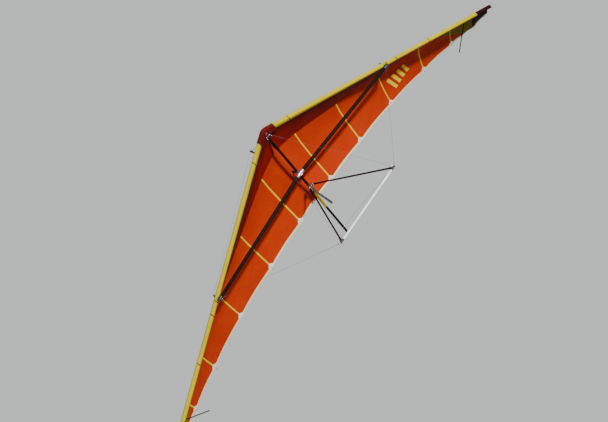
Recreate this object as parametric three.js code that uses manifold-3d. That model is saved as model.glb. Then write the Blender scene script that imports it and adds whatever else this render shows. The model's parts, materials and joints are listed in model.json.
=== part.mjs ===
// A flexible-wing hang glider standing on its base bar and keel end, nose up.
// Millimetres. Everything is laid out in the glider's own frame first: the origin is the nose
// bolt, +X points to the port tip, +Y runs aft along the keel and +Z is up from the keel.
// The last section pitches the whole glider nose up, so that the base bar and the keel end
// touch the ground, and puts the origin below the middle of its bounding box.

import * as THREE from 'three';
import { mergeVertices } from 'three/addons/utils/BufferGeometryUtils.js';
import Module from 'manifold-3d';

const wasm = await Module();
wasm.setup();

// Driving dimensions
const noseHalfAngle = THREE.MathUtils.degToRad(59);
const leadingEdgeLength = 5750;
const leadingEdgeRadius = 26;
const leadingEdgeStart = 70;
const junctionAlongLeadingEdge = 2810;
const keelLength = 3410;
const keelRadius = 21;
const crossbarY = 1245;
const crossbarZ = -70;
const crossbarRadius = 30;
const kingpostY = 1330;
const kingpostTopZ = 1190;
const kingpostRadius = 13;
const apexY = 1680;
const baseBarY = 1157;
const baseBarZ = -1585;
const baseBarHalfLength = 765;
const cornerX = 705;
const frameTubeRadius = 14;
const wireRadius = 1.5;
const seat = 0.3;
const clothThickness = 4;
const pocketRadius = leadingEdgeRadius + 10;
const bandRadius = leadingEdgeRadius + 4;
const sleeveWall = 4;
const tailCapRadius = 23;
const hangPinY = 1800;
const hangPinZ = -50;
const hangPinRadius = 6;
const hangStrapLength = 380;
const hangStrapHalfWidth = 19;
const hangStrapThickness = 3;

// Where the trailing edge lies, from the root to the tip. batten marks a batten's end.
const trailingEdge = [
  { x: 0.3, y: 2190, z: 80, camber: 0.055, batten: false },
  { x: 467, y: 2373, z: 190, camber: 0.075, batten: true },
  { x: 1376, y: 2508, z: 255, camber: 0.085, batten: true },
  { x: 2348, y: 2743, z: 360, camber: 0.085, batten: true },
  { x: 3311, y: 3008, z: 395, camber: 0.08, batten: true },
  { x: 4074, y: 3168, z: 330, camber: 0.075, batten: true },
  { x: 4343, y: 3225, z: 305, camber: 0.07, batten: false },
  { x: 4660, y: 3330, z: 265, camber: 0.06, batten: false },
  { x: 5000, y: 3310, z: 170, camber: 0.05, batten: false },
];
const scallopDepth = 16;
const billowBetweenBattens = 14;

// Materials
const paint = (color, roughness, metalness) =>
  new THREE.MeshStandardMaterial({ color, roughness, metalness });
const darkTube = paint(0x1d1512, 0.42, 0.6);
const brightTube = paint(0xe9eef0, 0.28, 0.85);
const bracketMetal = paint(0xb9b2aa, 0.4, 0.85);
const darkFitting = paint(0x17120f, 0.55, 0.3);
const redSail = paint(0xe03c08, 0.7, 0);
const darkRedCloth = paint(0x8c1408, 0.75, 0);
const yellowCloth = paint(0xf6cf28, 0.7, 0);
const wireSteel = paint(0x3a3431, 0.45, 0.7);
const webbing = paint(0x22201f, 0.9, 0);

const glider = new THREE.Group();

function addMesh(parent, name, geometry, material) {
  const mesh = new THREE.Mesh(geometry, material);
  mesh.name = name;
  parent.add(mesh);
  return mesh;
}

// Vectors and places
const vec = (x, y, z) => new THREE.Vector3(x, y, z);
const cotNose = 1 / Math.tan(noseHalfAngle);
const onLeadingEdge = (along, side, z = 0) =>
  vec(side * along * Math.sin(noseHalfAngle), along * Math.cos(noseHalfAngle), z);
const junction = (side, z) => onLeadingEdge(junctionAlongLeadingEdge, side, z);
const crossbarCentre = vec(0, crossbarY, crossbarZ);
const sides = [
  { name: 'port', sign: 1 },
  { name: 'starboard', sign: -1 },
];

// Solids: geometries placed by a matrix, then joined and cut
function solid(geometry, matrix) {
  const bare = geometry.index ? geometry.toNonIndexed() : geometry.clone();
  if (matrix) bare.applyMatrix4(matrix);
  for (const key of Object.keys(bare.attributes)) {
    if (key !== 'position') bare.deleteAttribute(key);
  }
  const merged = mergeVertices(bare, 1e-3);
  return new wasm.Manifold(
    new wasm.Mesh({
      numProp: 3,
      vertProperties: new Float32Array(merged.attributes.position.array),
      triVerts: new Uint32Array(merged.index.array),
    }),
  );
}

function geometryOf(manifold) {
  const mesh = manifold.getMesh();
  const geometry = new THREE.BufferGeometry();
  geometry.setAttribute('position', new THREE.BufferAttribute(mesh.vertProperties, 3));
  geometry.setIndex(new THREE.BufferAttribute(mesh.triVerts, 1));
  geometry.computeVertexNormals();
  return geometry;
}

// The matrix that lays a Y-axis cylinder from a to b
function alongLine(a, b) {
  const direction = b.clone().sub(a).normalize();
  const turn = new THREE.Quaternion().setFromUnitVectors(vec(0, 1, 0), direction);
  const middle = a.clone().add(b).multiplyScalar(0.5);
  return new THREE.Matrix4().compose(middle, turn, vec(1, 1, 1));
}

// Stands a flat outline up in the keel's plane: its x runs aft, its y up and its depth to port
const outlineToSide = new THREE.Matrix4().makeBasis(vec(0, 1, 0), vec(0, 0, 1), vec(1, 0, 0));

function rodSolid(a, b, radius, around = 20) {
  return solid(new THREE.CylinderGeometry(radius, radius, a.distanceTo(b), around), alongLine(a, b));
}

function boxSolid(low, high, matrix) {
  const size = high.clone().sub(low);
  const place = new THREE.Matrix4().setPosition(low.clone().add(high).multiplyScalar(0.5));
  if (matrix) place.premultiply(matrix);
  return solid(new THREE.BoxGeometry(size.x, size.y, size.z), place);
}

function addRod(parent, name, a, b, radius, material, around = 20) {
  const geometry = new THREE.CylinderGeometry(radius, radius, a.distanceTo(b), around);
  const mesh = addMesh(parent, name, geometry, material);
  alongLine(a, b).decompose(mesh.position, mesh.quaternion, mesh.scale);
  return mesh;
}

// Keel and its rubber end
const keelFront = 28.3;
const tailCapLength = 60;
addRod(glider, 'keel', vec(0, keelFront, 0), vec(0, keelLength - 12, 0), keelRadius, darkTube, 24);
const tailCap = rodSolid(vec(0, keelLength - tailCapLength, 0), vec(0, keelLength, 0), tailCapRadius, 24)
  .subtract(rodSolid(
    vec(0, keelLength - tailCapLength - 1, 0), vec(0, keelLength - 12 + seat, 0), keelRadius + seat, 24));
addMesh(glider, 'keel_end_cap', geometryOf(tailCap), darkFitting);

// Leading edges
for (const { name, sign } of sides) {
  addRod(glider, `leading_edge_${name}`, onLeadingEdge(leadingEdgeStart, sign),
    onLeadingEdge(leadingEdgeLength, sign), leadingEdgeRadius, darkTube);
}

// Nose: two plates and the bolt between them
const plateInnerZ = leadingEdgeRadius + 0.4;
const plateThickness = 4;
const plateOutline = [[28, 4], [148, 74], [128, 116], [30, 150], [-30, 150], [-128, 116], [-148, 74], [-28, 4]];
const plateShape = new THREE.Shape(plateOutline.map(([x, y]) => new THREE.Vector2(x, y)));
const plate = new THREE.ExtrudeGeometry(plateShape, { depth: plateThickness, bevelEnabled: false });
const noseBolt = rodSolid(vec(0, 16, -plateInnerZ - 1), vec(0, 16, plateInnerZ + 1), 12, 16);
const nosePlates = solid(plate, new THREE.Matrix4().makeTranslation(0, 0, plateInnerZ))
  .add(solid(plate, new THREE.Matrix4().makeTranslation(0, 0, -plateInnerZ - plateThickness)))
  .add(noseBolt);
addMesh(glider, 'nose_plates', geometryOf(nosePlates), bracketMetal);

// Crossbar: two halves in sleeves below the keel, each ending in a sleeve hung from a leading edge
const crossbarInnerGap = 12;
const crossbarEndPast = 20;
const sleeveLength = 80;
let crossbarHinge = boxSolid(vec(-40, crossbarY - 26, -60), vec(40, crossbarY + 26, -keelRadius - seat));
let hingeBores = null;
for (const { name, sign } of sides) {
  const outer = junction(sign, crossbarZ);
  const way = outer.clone().sub(crossbarCentre).normalize();
  const at = (distance) => crossbarCentre.clone().addScaledVector(way, distance);
  const span = outer.distanceTo(crossbarCentre);
  const start = at(crossbarInnerGap);
  const end = at(span + crossbarEndPast);
  addRod(glider, `crossbar_${name}`, start, end, crossbarRadius, darkTube, 24);

  crossbarHinge = crossbarHinge.add(rodSolid(crossbarCentre, at(sleeveLength), crossbarRadius + sleeveWall, 24));
  const bore = rodSolid(at(crossbarInnerGap - seat), at(sleeveLength + 1), crossbarRadius + seat, 24);
  hingeBores = hingeBores ? hingeBores.add(bore) : bore;

  // band round the leading edge, web, sleeve and the tang for the upper side wire
  const bandHalf = 35;
  const band = rodSolid(onLeadingEdge(junctionAlongLeadingEdge - bandHalf, sign),
    onLeadingEdge(junctionAlongLeadingEdge + bandHalf, sign), bandRadius);
  const bandBore = rodSolid(onLeadingEdge(junctionAlongLeadingEdge - bandHalf - 1, sign),
    onLeadingEdge(junctionAlongLeadingEdge + bandHalf + 1, sign), leadingEdgeRadius + seat);
  const centre = junction(sign, 0);
  const sleeve = rodSolid(at(span + crossbarEndPast - sleeveLength), at(span + crossbarEndPast + 8),
    crossbarRadius + sleeveWall, 24);
  const sleeveBore = rodSolid(at(span + crossbarEndPast - sleeveLength - 1), at(span + crossbarEndPast + seat),
    crossbarRadius + seat, 24);
  const turned = new THREE.Matrix4().makeRotationZ(sign * (Math.PI / 2 - noseHalfAngle)).setPosition(centre);
  const web = boxSolid(vec(-24, -9, crossbarZ), vec(24, 9, 0), turned);
  const tang = boxSolid(vec(-14, -3, 0), vec(14, 3, 92), turned);
  const bracket = band.add(web).add(sleeve).add(tang).subtract(bandBore).subtract(sleeveBore);
  addMesh(glider, `crossbar_bracket_${name}`, geometryOf(bracket), darkFitting);
}
addMesh(glider, 'crossbar_hinge', geometryOf(crossbarHinge.subtract(hingeBores)), bracketMetal);

// Kingpost on its foot, with a cap for the upper wires
const footTop = keelRadius + 14;
const socketTop = footTop + 38;
const kingpostFoot = boxSolid(vec(-20, kingpostY - 32, keelRadius + seat), vec(20, kingpostY + 32, footTop))
  .add(rodSolid(vec(0, kingpostY, footTop - 4), vec(0, kingpostY, socketTop), kingpostRadius + 5))
  .subtract(rodSolid(vec(0, kingpostY, footTop), vec(0, kingpostY, socketTop + 1), kingpostRadius + seat));
addMesh(glider, 'kingpost_foot', geometryOf(kingpostFoot), bracketMetal);
addRod(glider, 'kingpost', vec(0, kingpostY, footTop + seat), vec(0, kingpostY, kingpostTopZ - 20),
  kingpostRadius, darkTube, 16);
const kingpostCap = rodSolid(vec(0, kingpostY, kingpostTopZ - 60), vec(0, kingpostY, kingpostTopZ), kingpostRadius + 4)
  .subtract(rodSolid(vec(0, kingpostY, kingpostTopZ - 61), vec(0, kingpostY, kingpostTopZ - 20 + seat),
    kingpostRadius + seat));
addMesh(glider, 'kingpost_cap', geometryOf(kingpostCap), darkFitting);

// Control frame, laid out flat in a group that hangs from the keel and rakes forward
const frameDrop = Math.hypot(apexY - baseBarY, baseBarZ);
const frameRake = Math.atan2(apexY - baseBarY, -baseBarZ);
const controlFrame = new THREE.Group();
controlFrame.position.set(0, apexY, 0);
controlFrame.rotation.x = -frameRake;
glider.add(controlFrame);
controlFrame.updateMatrix();
const barAxis = (x) => vec(x, 0, -frameDrop);
addRod(controlFrame, 'base_bar', barAxis(-baseBarHalfLength), barAxis(baseBarHalfLength), frameTubeRadius, brightTube);

const downtubeTop = (sign) => vec(sign * 28, 0, -60);
const fittingRadius = frameTubeRadius + 4;
const fittingHalf = 45;
for (const { name, sign } of sides) {
  const corner = barAxis(sign * cornerX);
  const way = downtubeTop(sign).sub(corner).normalize();
  const up = (distance) => corner.clone().addScaledVector(way, distance);
  const footGap = 22;
  addRod(controlFrame, `downtube_${name}`, up(footGap + seat), downtubeTop(sign), frameTubeRadius, darkTube);
  const alongBar = (x) => barAxis(sign * cornerX + x);
  const fitting = rodSolid(alongBar(-fittingHalf), alongBar(fittingHalf), fittingRadius)
    .add(rodSolid(corner, up(85), fittingRadius))
    .subtract(rodSolid(alongBar(-fittingHalf - 1), alongBar(fittingHalf + 1), frameTubeRadius + seat))
    .subtract(rodSolid(up(footGap), up(90), frameTubeRadius + seat));
  addMesh(controlFrame, `corner_fitting_${name}`, geometryOf(fitting), darkFitting);
}

const cheekOutline = [[38, -34], [74, -112], [22, -112], [-22, -112], [-74, -112], [-38, -34]];
const cheekShape = new THREE.Shape(cheekOutline.map(([x, z]) => new THREE.Vector2(x, z)));
const cheek = new THREE.ExtrudeGeometry(cheekShape, { depth: 4, bevelEnabled: false });
const standing = new THREE.Matrix4().makeRotationX(Math.PI / 2);
const cheekAt = (y) => solid(cheek, new THREE.Matrix4().makeTranslation(0, y, 0).multiply(standing)
  .premultiply(controlFrame.matrix));
const apexBracket = boxSolid(vec(-30, apexY - 26, -44), vec(30, apexY + 26, -keelRadius - seat))
  .add(cheekAt(frameTubeRadius + seat + 4))
  .add(cheekAt(-frameTubeRadius - seat));
addMesh(glider, 'apex_bracket', geometryOf(apexBracket), bracketMetal);

// Hang point: a bracket with a cross pin, and the webbing loop that swings on the pin
const earX = hangStrapHalfWidth + 5;
const hangBracket = boxSolid(vec(-earX - 4, hangPinY - 25, -keelRadius - 6), vec(earX + 4, hangPinY + 25, -keelRadius - seat))
  .add(boxSolid(vec(earX, hangPinY - 12, hangPinZ - 12), vec(earX + 4, hangPinY + 12, -keelRadius - 5)))
  .add(boxSolid(vec(-earX - 4, hangPinY - 12, hangPinZ - 12), vec(-earX, hangPinY + 12, -keelRadius - 5)))
  .add(rodSolid(vec(-earX - 3, hangPinY, hangPinZ), vec(earX + 3, hangPinY, hangPinZ), hangPinRadius, 16));
addMesh(glider, 'hang_bracket', geometryOf(hangBracket), bracketMetal);

// Outline of a long loop. An odd count of sides leaves a level one at each end.
const loopEndSides = 9;
function loopOutline(radius, length) {
  const points = [];
  for (const [centreY, firstAngle] of [[0, 0], [-length, Math.PI]]) {
    for (let i = 0; i <= loopEndSides; i += 1) {
      const angle = firstAngle + (Math.PI * i) / loopEndSides;
      points.push(new THREE.Vector2(radius * Math.cos(angle), centreY + radius * Math.sin(angle)));
    }
  }
  return points;
}
const strapInner = hangPinRadius + seat;
const strapShape = new THREE.Shape(loopOutline(strapInner + hangStrapThickness, hangStrapLength));
strapShape.holes.push(new THREE.Path(loopOutline(strapInner, hangStrapLength)));
const strapGeometry = new THREE.ExtrudeGeometry(strapShape, {
  depth: 2 * hangStrapHalfWidth, bevelEnabled: false,
});
strapGeometry.translate(0, 0, -hangStrapHalfWidth);
strapGeometry.applyMatrix4(outlineToSide);
const hangGroup = new THREE.Group();
hangGroup.position.set(0, hangPinY, hangPinZ);
glider.add(hangGroup);
addMesh(hangGroup, 'hang_strap', strapGeometry, webbing);

// Sail: each half is one cloth wall, doubled in front into a pocket round the leading edge
const leadingEdgeY = (x) => x * cotNose;
const seamY = (x) => Math.max(680 + 0.457 * x, leadingEdgeY(x) + 130);
const inFront = [0, 0.1, 0.24, 0.42, 0.66, 0.95];
const behind = [0.03, 0.2, 0.4, 0.6, 0.8, 1];
const noseArcPoints = 7;
const noseTopAngle = THREE.MathUtils.degToRad(125);
const noseStretch = 1 / Math.sin(noseHalfAngle);

function edgeAt(x) {
  const i = Math.min(trailingEdge.length - 2, trailingEdge.findIndex((p, k) => k > 0 && x <= p.x) - 1);
  const [a, b] = [trailingEdge[i], trailingEdge[i + 1]];
  const share = (x - a.x) / (b.x - a.x);
  const mix = (key) => THREE.MathUtils.lerp(a[key], b[key], share);
  const arch = 4 * share * (1 - share);
  return { y: mix('y') - scallopDepth * arch, z: mix('z') + billowBetweenBattens * arch, camber: mix('camber') };
}

// Height of the upper skin at a distance y aft of the nose, in the section at x
function skinHeight(x, y) {
  const edge = edgeAt(x);
  const front = leadingEdgeY(x) + pocketRadius * noseStretch * Math.cos(noseTopAngle);
  const chord = edge.y - front;
  const share = THREE.MathUtils.clamp((y - front) / chord, 0, 1);
  const frontHeight = pocketRadius * Math.sin(noseTopAngle);
  const bow = edge.camber * chord * Math.sin(Math.PI * share ** 0.75);
  return THREE.MathUtils.lerp(frontHeight, edge.z, share) + bow;
}

// Points of a curve round the leading edge, from the angle where the lower panel meets it
function noseCurve(x, radius, firstAngle) {
  const points = [];
  for (let i = 0; i < noseArcPoints; i += 1) {
    const angle = THREE.MathUtils.lerp(firstAngle, noseTopAngle - 2 * Math.PI, i / noseArcPoints);
    points.push([leadingEdgeY(x) + radius * noseStretch * Math.cos(angle), radius * Math.sin(angle)]);
  }
  return points;
}

// The outline of the cloth in the section at x, and the outline of the pocket's hollow
function sailSection(x) {
  const seam = seamY(x);
  const edge = edgeAt(x);
  const front = leadingEdgeY(x) + pocketRadius * noseStretch * Math.cos(noseTopAngle);
  const top = inFront.map((share) => THREE.MathUtils.lerp(front, seam, share));
  const aft = behind.map((share) => THREE.MathUtils.lerp(seam, edge.y, share));
  const upper = [...top, ...aft].map((y) => [y, skinHeight(x, y)]);
  const under = aft.map((y) => [y, skinHeight(x, y) - clothThickness]).reverse();
  const panelEnd = under[under.length - 1];
  const reach = (panelEnd[0] - leadingEdgeY(x)) / noseStretch;
  const firstAngle = Math.atan2(panelEnd[1], reach) - Math.acos(pocketRadius / Math.hypot(reach, panelEnd[1]));
  const nose = noseCurve(x, pocketRadius, firstAngle);
  const panel = (share, lift) => [
    THREE.MathUtils.lerp(nose[0][0], panelEnd[0], share),
    THREE.MathUtils.lerp(nose[0][1], panelEnd[1], share) + lift,
  ];
  const outer = [...nose, ...upper, ...under, panel(0.66, 0), panel(0.33, 0)];
  const innerTop = top.slice(1, -1).map((y) => [y, skinHeight(x, y) - clothThickness]);
  const inner = [
    ...noseCurve(x, pocketRadius - clothThickness, firstAngle), ...innerTop,
    panel(0.8, clothThickness), panel(0.5, clothThickness), panel(0.2, clothThickness),
  ];
  return { outer, inner };
}

const sailStations = [trailingEdge[0].x, 95, 160, 240, 330];
trailingEdge.slice(1).forEach((point, i) => {
  if (i > 0) sailStations.push((trailingEdge[i].x + point.x) / 2);
  sailStations.push(point.x);
});

// Loft of closed sections, each with the same count of points. holes are the outlines of a
// hollow that runs through. Both faces of a wall are split along the same diagonal, so that a
// thin twisted wall doesn't pass through itself.
function loft(sections, placeAt, holes) {
  const positions = [];
  const triangles = [];
  const addWall = (loops, outward) => {
    const first = positions.length / 3;
    const count = loops[0].length;
    loops.forEach((loop, k) => loop.forEach((p) => positions.push(...placeAt(k, p))));
    for (let k = 0; k + 1 < loops.length; k += 1) {
      for (let i = 0; i < count; i += 1) {
        const j = (i + 1) % count;
        const [a, b] = [first + k * count + i, first + k * count + j];
        const [c, d] = [a + count, b + count];
        const split = loops[k][j][0] > loops[k][i][0] ? [[a, b, c], [b, d, c]] : [[a, b, d], [a, d, c]];
        for (const face of split) triangles.push(...(outward ? face : face.reverse()));
      }
    }
    return first;
  };
  const outerFirst = addWall(sections, true);
  const holeFirst = holes ? addWall(holes, false) : 0;
  const count = sections[0].length;
  for (const k of [0, sections.length - 1]) {
    const flat = (loop) => loop.map(([u, v]) => new THREE.Vector2(u, v));
    const faces = THREE.ShapeUtils.triangulateShape(flat(sections[k]), holes ? [flat(holes[k])] : []);
    const index = (i) => (i < count ? outerFirst + k * count + i : holeFirst + k * holes[k].length + i - count);
    for (const face of faces) {
      const corners = face.map(index);
      if (k > 0) corners.reverse();
      triangles.push(...corners);
    }
  }
  const geometry = new THREE.BufferGeometry();
  geometry.setAttribute('position', new THREE.Float32BufferAttribute(positions, 3));
  geometry.setIndex(triangles);
  return geometry;
}

// A geometry turned inside out by a mirror or by its sections' order is turned back
function facingOut(geometry) {
  const index = geometry.index.array;
  const p = geometry.attributes.position;
  let volume = 0;
  const [a, b, c] = [vec(0, 0, 0), vec(0, 0, 0), vec(0, 0, 0)];
  for (let i = 0; i < index.length; i += 3) {
    a.fromBufferAttribute(p, index[i]);
    b.fromBufferAttribute(p, index[i + 1]);
    c.fromBufferAttribute(p, index[i + 2]);
    volume += a.dot(b.cross(c));
  }
  if (volume < 0) {
    for (let i = 0; i < index.length; i += 3) [index[i], index[i + 1]] = [index[i + 1], index[i]];
  }
  geometry.computeVertexNormals();
  return geometry;
}

const strutAlong = 5050;
const strutEnd = (sign) => vec(sign * 3965, 3140, 70);
const strutRadius = 9;
for (const { name, sign } of sides) {
  const built = sailStations.map(sailSection);
  const cloth = facingOut(loft(built.map((s) => s.outer), (k, [y, z]) => [sign * sailStations[k], y, z],
    built.map((s) => s.inner)));
  const bracketHole = rodSolid(junction(sign, crossbarZ), junction(sign, 0), 32, 16);
  const tangHole = rodSolid(junction(sign, 0), junction(sign, 150), 18, 16);
  const strutHole = rodSolid(onLeadingEdge(strutAlong, sign), strutEnd(sign), strutRadius + 5, 16);
  const sail = solid(cloth)
    .subtract(rodSolid(vec(0, 0, -100), vec(0, 0, 200), 190, 40))
    .subtract(boxSolid(vec(-24, 0, -100), vec(24, 720, 26)))
    .subtract(boxSolid(vec(-9, 100, -100), vec(9, 340, 300)))
    .subtract(rodSolid(vec(0, kingpostY, 60), vec(0, kingpostY, 260), kingpostRadius + 10))
    .subtract(bracketHole).subtract(tangHole).subtract(strutHole);
  addMesh(glider, `sail_${name}`, geometryOf(sail), redSail);

  // Battens lie under the cloth and end just behind the trailing edge
  const battenHalfWidth = 12;
  const battenDepth = 8;
  const battenGap = 0.9;
  const battenTail = 38;
  let number = 0;
  for (const point of trailingEdge.filter((p) => p.batten)) {
    number += 1;
    const k = sailStations.indexOf(point.x);
    const underFirst = noseArcPoints + inFront.length + behind.length;
    const underAt = (i) => sailSection(sailStations[i]).outer.slice(underFirst, underFirst + behind.length).reverse();
    const middle = underAt(k);
    const edgeLine = (neighbour) => {
      const share = battenHalfWidth / Math.abs(sailStations[neighbour] - sailStations[k]);
      const x = sign * THREE.MathUtils.lerp(sailStations[k], sailStations[neighbour], share);
      const line = underAt(neighbour).map(([y, z], i) => {
        const clothZ = THREE.MathUtils.lerp(middle[i][1], z, share);
        return vec(x, THREE.MathUtils.lerp(middle[i][0], y, share), Math.min(clothZ, middle[i][1]) - battenGap);
      });
      const last = line[line.length - 1];
      const slope = last.clone().sub(line[line.length - 2]).normalize();
      line.push(last.clone().addScaledVector(slope, battenTail));
      return line;
    };
    const inner = edgeLine(k - 1);
    const outer = edgeLine(k + 1);
    const below = ({ x, y, z }) => vec(x, y, z - battenDepth);
    const corners = inner.map((p, i) => [p, outer[i], below(outer[i]), below(p)]);
    const flatCorners = [[0, 0], [1, 0], [1, -1], [0, -1]];
    const batten = loft(corners.map(() => flatCorners), (i, corner) => corners[i][flatCorners.indexOf(corner)].toArray());
    addMesh(glider, `batten_${name}_${number}`, facingOut(batten), yellowCloth);
  }

  // Washout strut: a rod clamped square to the leading edge below the tip
  const strutBand = 22;
  const strut = rodSolid(onLeadingEdge(strutAlong - strutBand, sign), onLeadingEdge(strutAlong + strutBand, sign), bandRadius)
    .add(rodSolid(onLeadingEdge(strutAlong, sign), strutEnd(sign), strutRadius, 12))
    .subtract(rodSolid(onLeadingEdge(strutAlong - strutBand - 1, sign), onLeadingEdge(strutAlong + strutBand + 1, sign),
      leadingEdgeRadius + seat));
  addMesh(glider, `tip_strut_${name}`, geometryOf(strut), darkFitting);
}

// Keel pocket: a cloth fin under the middle seam, sewn round the keel
const pocketFront = 1900;
const pocketBack = 2410;
const rootEdgeY = trailingEdge[0].y;
const finTop = [];
for (const y of [1900, 1990, 2080, rootEdgeY]) finTop.push([y, skinHeight(trailingEdge[0].x, y) - clothThickness - 0.6]);
const finShape = new THREE.Shape([
  new THREE.Vector2(pocketFront, keelRadius + 1), ...finTop.map(([y, z]) => new THREE.Vector2(y, z)).reverse().reverse(),
  new THREE.Vector2(pocketBack, keelRadius + 3), new THREE.Vector2(pocketBack, keelRadius + 1),
]);
const fin = new THREE.ExtrudeGeometry(finShape, { depth: 8, bevelEnabled: false });
const finPlace = outlineToSide.clone().setPosition(-4, 0, 0);
const keelPocket = rodSolid(vec(0, pocketFront, 0), vec(0, pocketBack, 0), keelRadius + 4, 24)
  .add(solid(fin, finPlace))
  .subtract(rodSolid(vec(0, pocketFront - 1, 0), vec(0, pocketBack + 1, 0), keelRadius + seat, 24));
addMesh(glider, 'keel_pocket', geometryOf(keelPocket), redSail);

// Nose cover: a cloth cap drawn over the front of both leading edges
const coverStations = [-330, -240, -160, -95, -45, 0, 45, 95, 160, 240, 330];
const coverInner = pocketRadius + 3.4;
const coverThickness = 3;
const coverRounding = 25;
function coverSection(x) {
  const reach = Math.hypot(x, coverRounding);
  const centreY = reach * cotNose;
  const stretch = Math.hypot(1, (Math.abs(x) / reach) * cotNose);
  const line = (radius, lift) => {
    const arc = [-90, -125, -160, 165, 130].map((degrees) => {
      const angle = THREE.MathUtils.degToRad(degrees);
      return [centreY + radius * stretch * Math.cos(angle), radius * Math.sin(angle)];
    });
    const top = [50, 115].map((back) =>
      [centreY + back, skinHeight(Math.max(Math.abs(x), 1), centreY + back) + lift]);
    return [[centreY + 85, -radius + 2], ...arc, ...top];
  };
  return [...line(coverInner + coverThickness, 4 + coverThickness), ...line(coverInner, 4).reverse()];
}
const cover = loft(coverStations.map(coverSection), (k, [y, z]) => [coverStations[k], y, z]);
addMesh(glider, 'nose_cover', facingOut(cover), darkRedCloth);

// Wires. Each end stops short of the round piece that holds it, by that piece's radius.
function stopShort(wireWay, heldOn) {
  if (!heldOn.axis) return heldOn.radius;
  const along = Math.abs(wireWay.dot(heldOn.axis));
  return (heldOn.radius + seat + wireRadius * along) / Math.sqrt(1 - along * along);
}
function addWire(name, from, to) {
  const way = to.point.clone().sub(from.point).normalize();
  const a = from.point.clone().addScaledVector(way, stopShort(way, from));
  const b = to.point.clone().addScaledVector(way, -stopShort(way, to));
  addRod(glider, name, a, b, wireRadius, wireSteel, 8);
}
const acrossAxis = vec(1, 0, 0);
const keelAxis = vec(0, 1, 0);
const upAxis = vec(0, 0, 1);
const cornerHold = (sign, outboard) => ({
  point: vec(sign * (cornerX + outboard), baseBarY, baseBarZ), axis: acrossAxis, radius: fittingRadius,
});
const kingpostHold = (drop) => ({
  point: vec(0, kingpostY, kingpostTopZ - drop), axis: upAxis, radius: kingpostRadius + 4,
});
for (const { name, sign } of sides) {
  const crossbarWay = junction(sign, crossbarZ).sub(crossbarCentre).normalize();
  addWire(`lower_side_wire_${name}`, cornerHold(sign, 38), {
    point: junction(sign, crossbarZ).addScaledVector(crossbarWay, -20), axis: crossbarWay, radius: crossbarRadius + sleeveWall,
  });
  addWire(`lower_front_wire_${name}`, cornerHold(sign, 28),
    { point: vec(sign * 30, 128, -plateInnerZ - plateThickness), radius: 2.5 });
  addWire(`lower_rear_wire_${name}`, cornerHold(sign, 30), { point: vec(0, 3190, 0), axis: keelAxis, radius: keelRadius });
  addWire(`upper_side_wire_${name}`, kingpostHold(14), { point: junction(sign, 86), radius: 16 });
}
addWire('upper_front_wire', kingpostHold(10), { point: vec(0, 190, 0), axis: keelAxis, radius: keelRadius });
addWire('upper_rear_wire', kingpostHold(10), { point: vec(0, 3240, 0), axis: keelAxis, radius: keelRadius });

// Standing pitch: the line that touches the keel end and the corner fittings from below
const restRun = keelLength - baseBarY;
const restDrop = -tailCapRadius - baseBarZ;
const pitch = Math.atan2(restDrop, restRun) + Math.asin(fittingRadius / Math.hypot(restRun, restDrop));
glider.rotation.x = -pitch;
hangGroup.rotation.x = pitch;

const model = new THREE.Group();
model.add(glider);
model.updateMatrixWorld(true);
const box = new THREE.Box3().setFromObject(glider, true);
const middle = box.getCenter(vec(0, 0, 0));
glider.position.set(-middle.x, -middle.y, -box.min.z);
model.updateMatrixWorld(true);

export default model;
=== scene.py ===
import json
import math

import bmesh
import bpy
from mathutils import Matrix, Vector


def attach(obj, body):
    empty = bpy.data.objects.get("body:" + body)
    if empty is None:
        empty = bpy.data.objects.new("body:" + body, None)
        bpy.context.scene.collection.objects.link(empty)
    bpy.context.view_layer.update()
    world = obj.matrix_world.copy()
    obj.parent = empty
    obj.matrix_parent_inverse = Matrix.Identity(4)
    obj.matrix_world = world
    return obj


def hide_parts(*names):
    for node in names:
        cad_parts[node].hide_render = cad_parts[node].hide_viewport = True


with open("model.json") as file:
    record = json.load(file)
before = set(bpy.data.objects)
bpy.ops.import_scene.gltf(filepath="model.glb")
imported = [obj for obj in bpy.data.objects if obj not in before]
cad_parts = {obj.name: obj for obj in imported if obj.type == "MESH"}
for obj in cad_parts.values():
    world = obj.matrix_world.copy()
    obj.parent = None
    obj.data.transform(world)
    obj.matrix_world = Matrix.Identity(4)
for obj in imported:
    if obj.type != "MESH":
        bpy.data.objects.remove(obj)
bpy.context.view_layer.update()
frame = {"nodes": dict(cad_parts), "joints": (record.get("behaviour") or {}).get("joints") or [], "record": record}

print("stage: frame loaded,", len(frame["nodes"]), "nodes")

# The wing's own dimensions in millimetres, as in the CAD source: origin at the nose bolt,
# x to the side, y aft along the keel, z up from the keel
wing = {
    "noseHalfAngle": math.radians(59),
    "leadingEdgeStart": 70,
    "leadingEdgeLength": 5750,
    "leadingEdgeRadius": 26,
    "pocketRadius": 36,
    "junctionAlong": 2810,
    "strutAlong": 5050,
    "trailingEdge": (
        (0.3, 2190, 80, 0.055), (467, 2373, 190, 0.075), (1376, 2508, 255, 0.085),
        (2348, 2743, 360, 0.085), (3311, 3008, 395, 0.08), (4074, 3168, 330, 0.075),
        (4343, 3225, 305, 0.07), (4660, 3330, 265, 0.06), (5000, 3310, 170, 0.05),
    ),
    "battenStations": (467, 1376, 2348, 3311, 4074),
    "scallopDepth": 16,
    "billow": 14,
    "noseCutRadius": 190,
    "keelLength": 3410,
    "keelRadius": 21,
    "crossbarY": 1245,
    "crossbarZ": -70,
    "crossbarRadius": 30,
    "kingpostY": 1330,
    "kingpostTop": 1190,
    "kingpostRadius": 13,
    "apexY": 1680,
    "baseBarY": 1157,
    "baseBarZ": -1585,
    "baseBarHalf": 765,
    "cornerX": 705,
    "frameTubeRadius": 14,
    "hangPinY": 1800,
    "hangPinZ": -50,
}
halves = (("port", 1), ("starboard", -1))
cotNose = 1 / math.tan(wing["noseHalfAngle"])
noseStretch = 1 / math.sin(wing["noseHalfAngle"])
noseTopAngle = math.radians(125)
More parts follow.
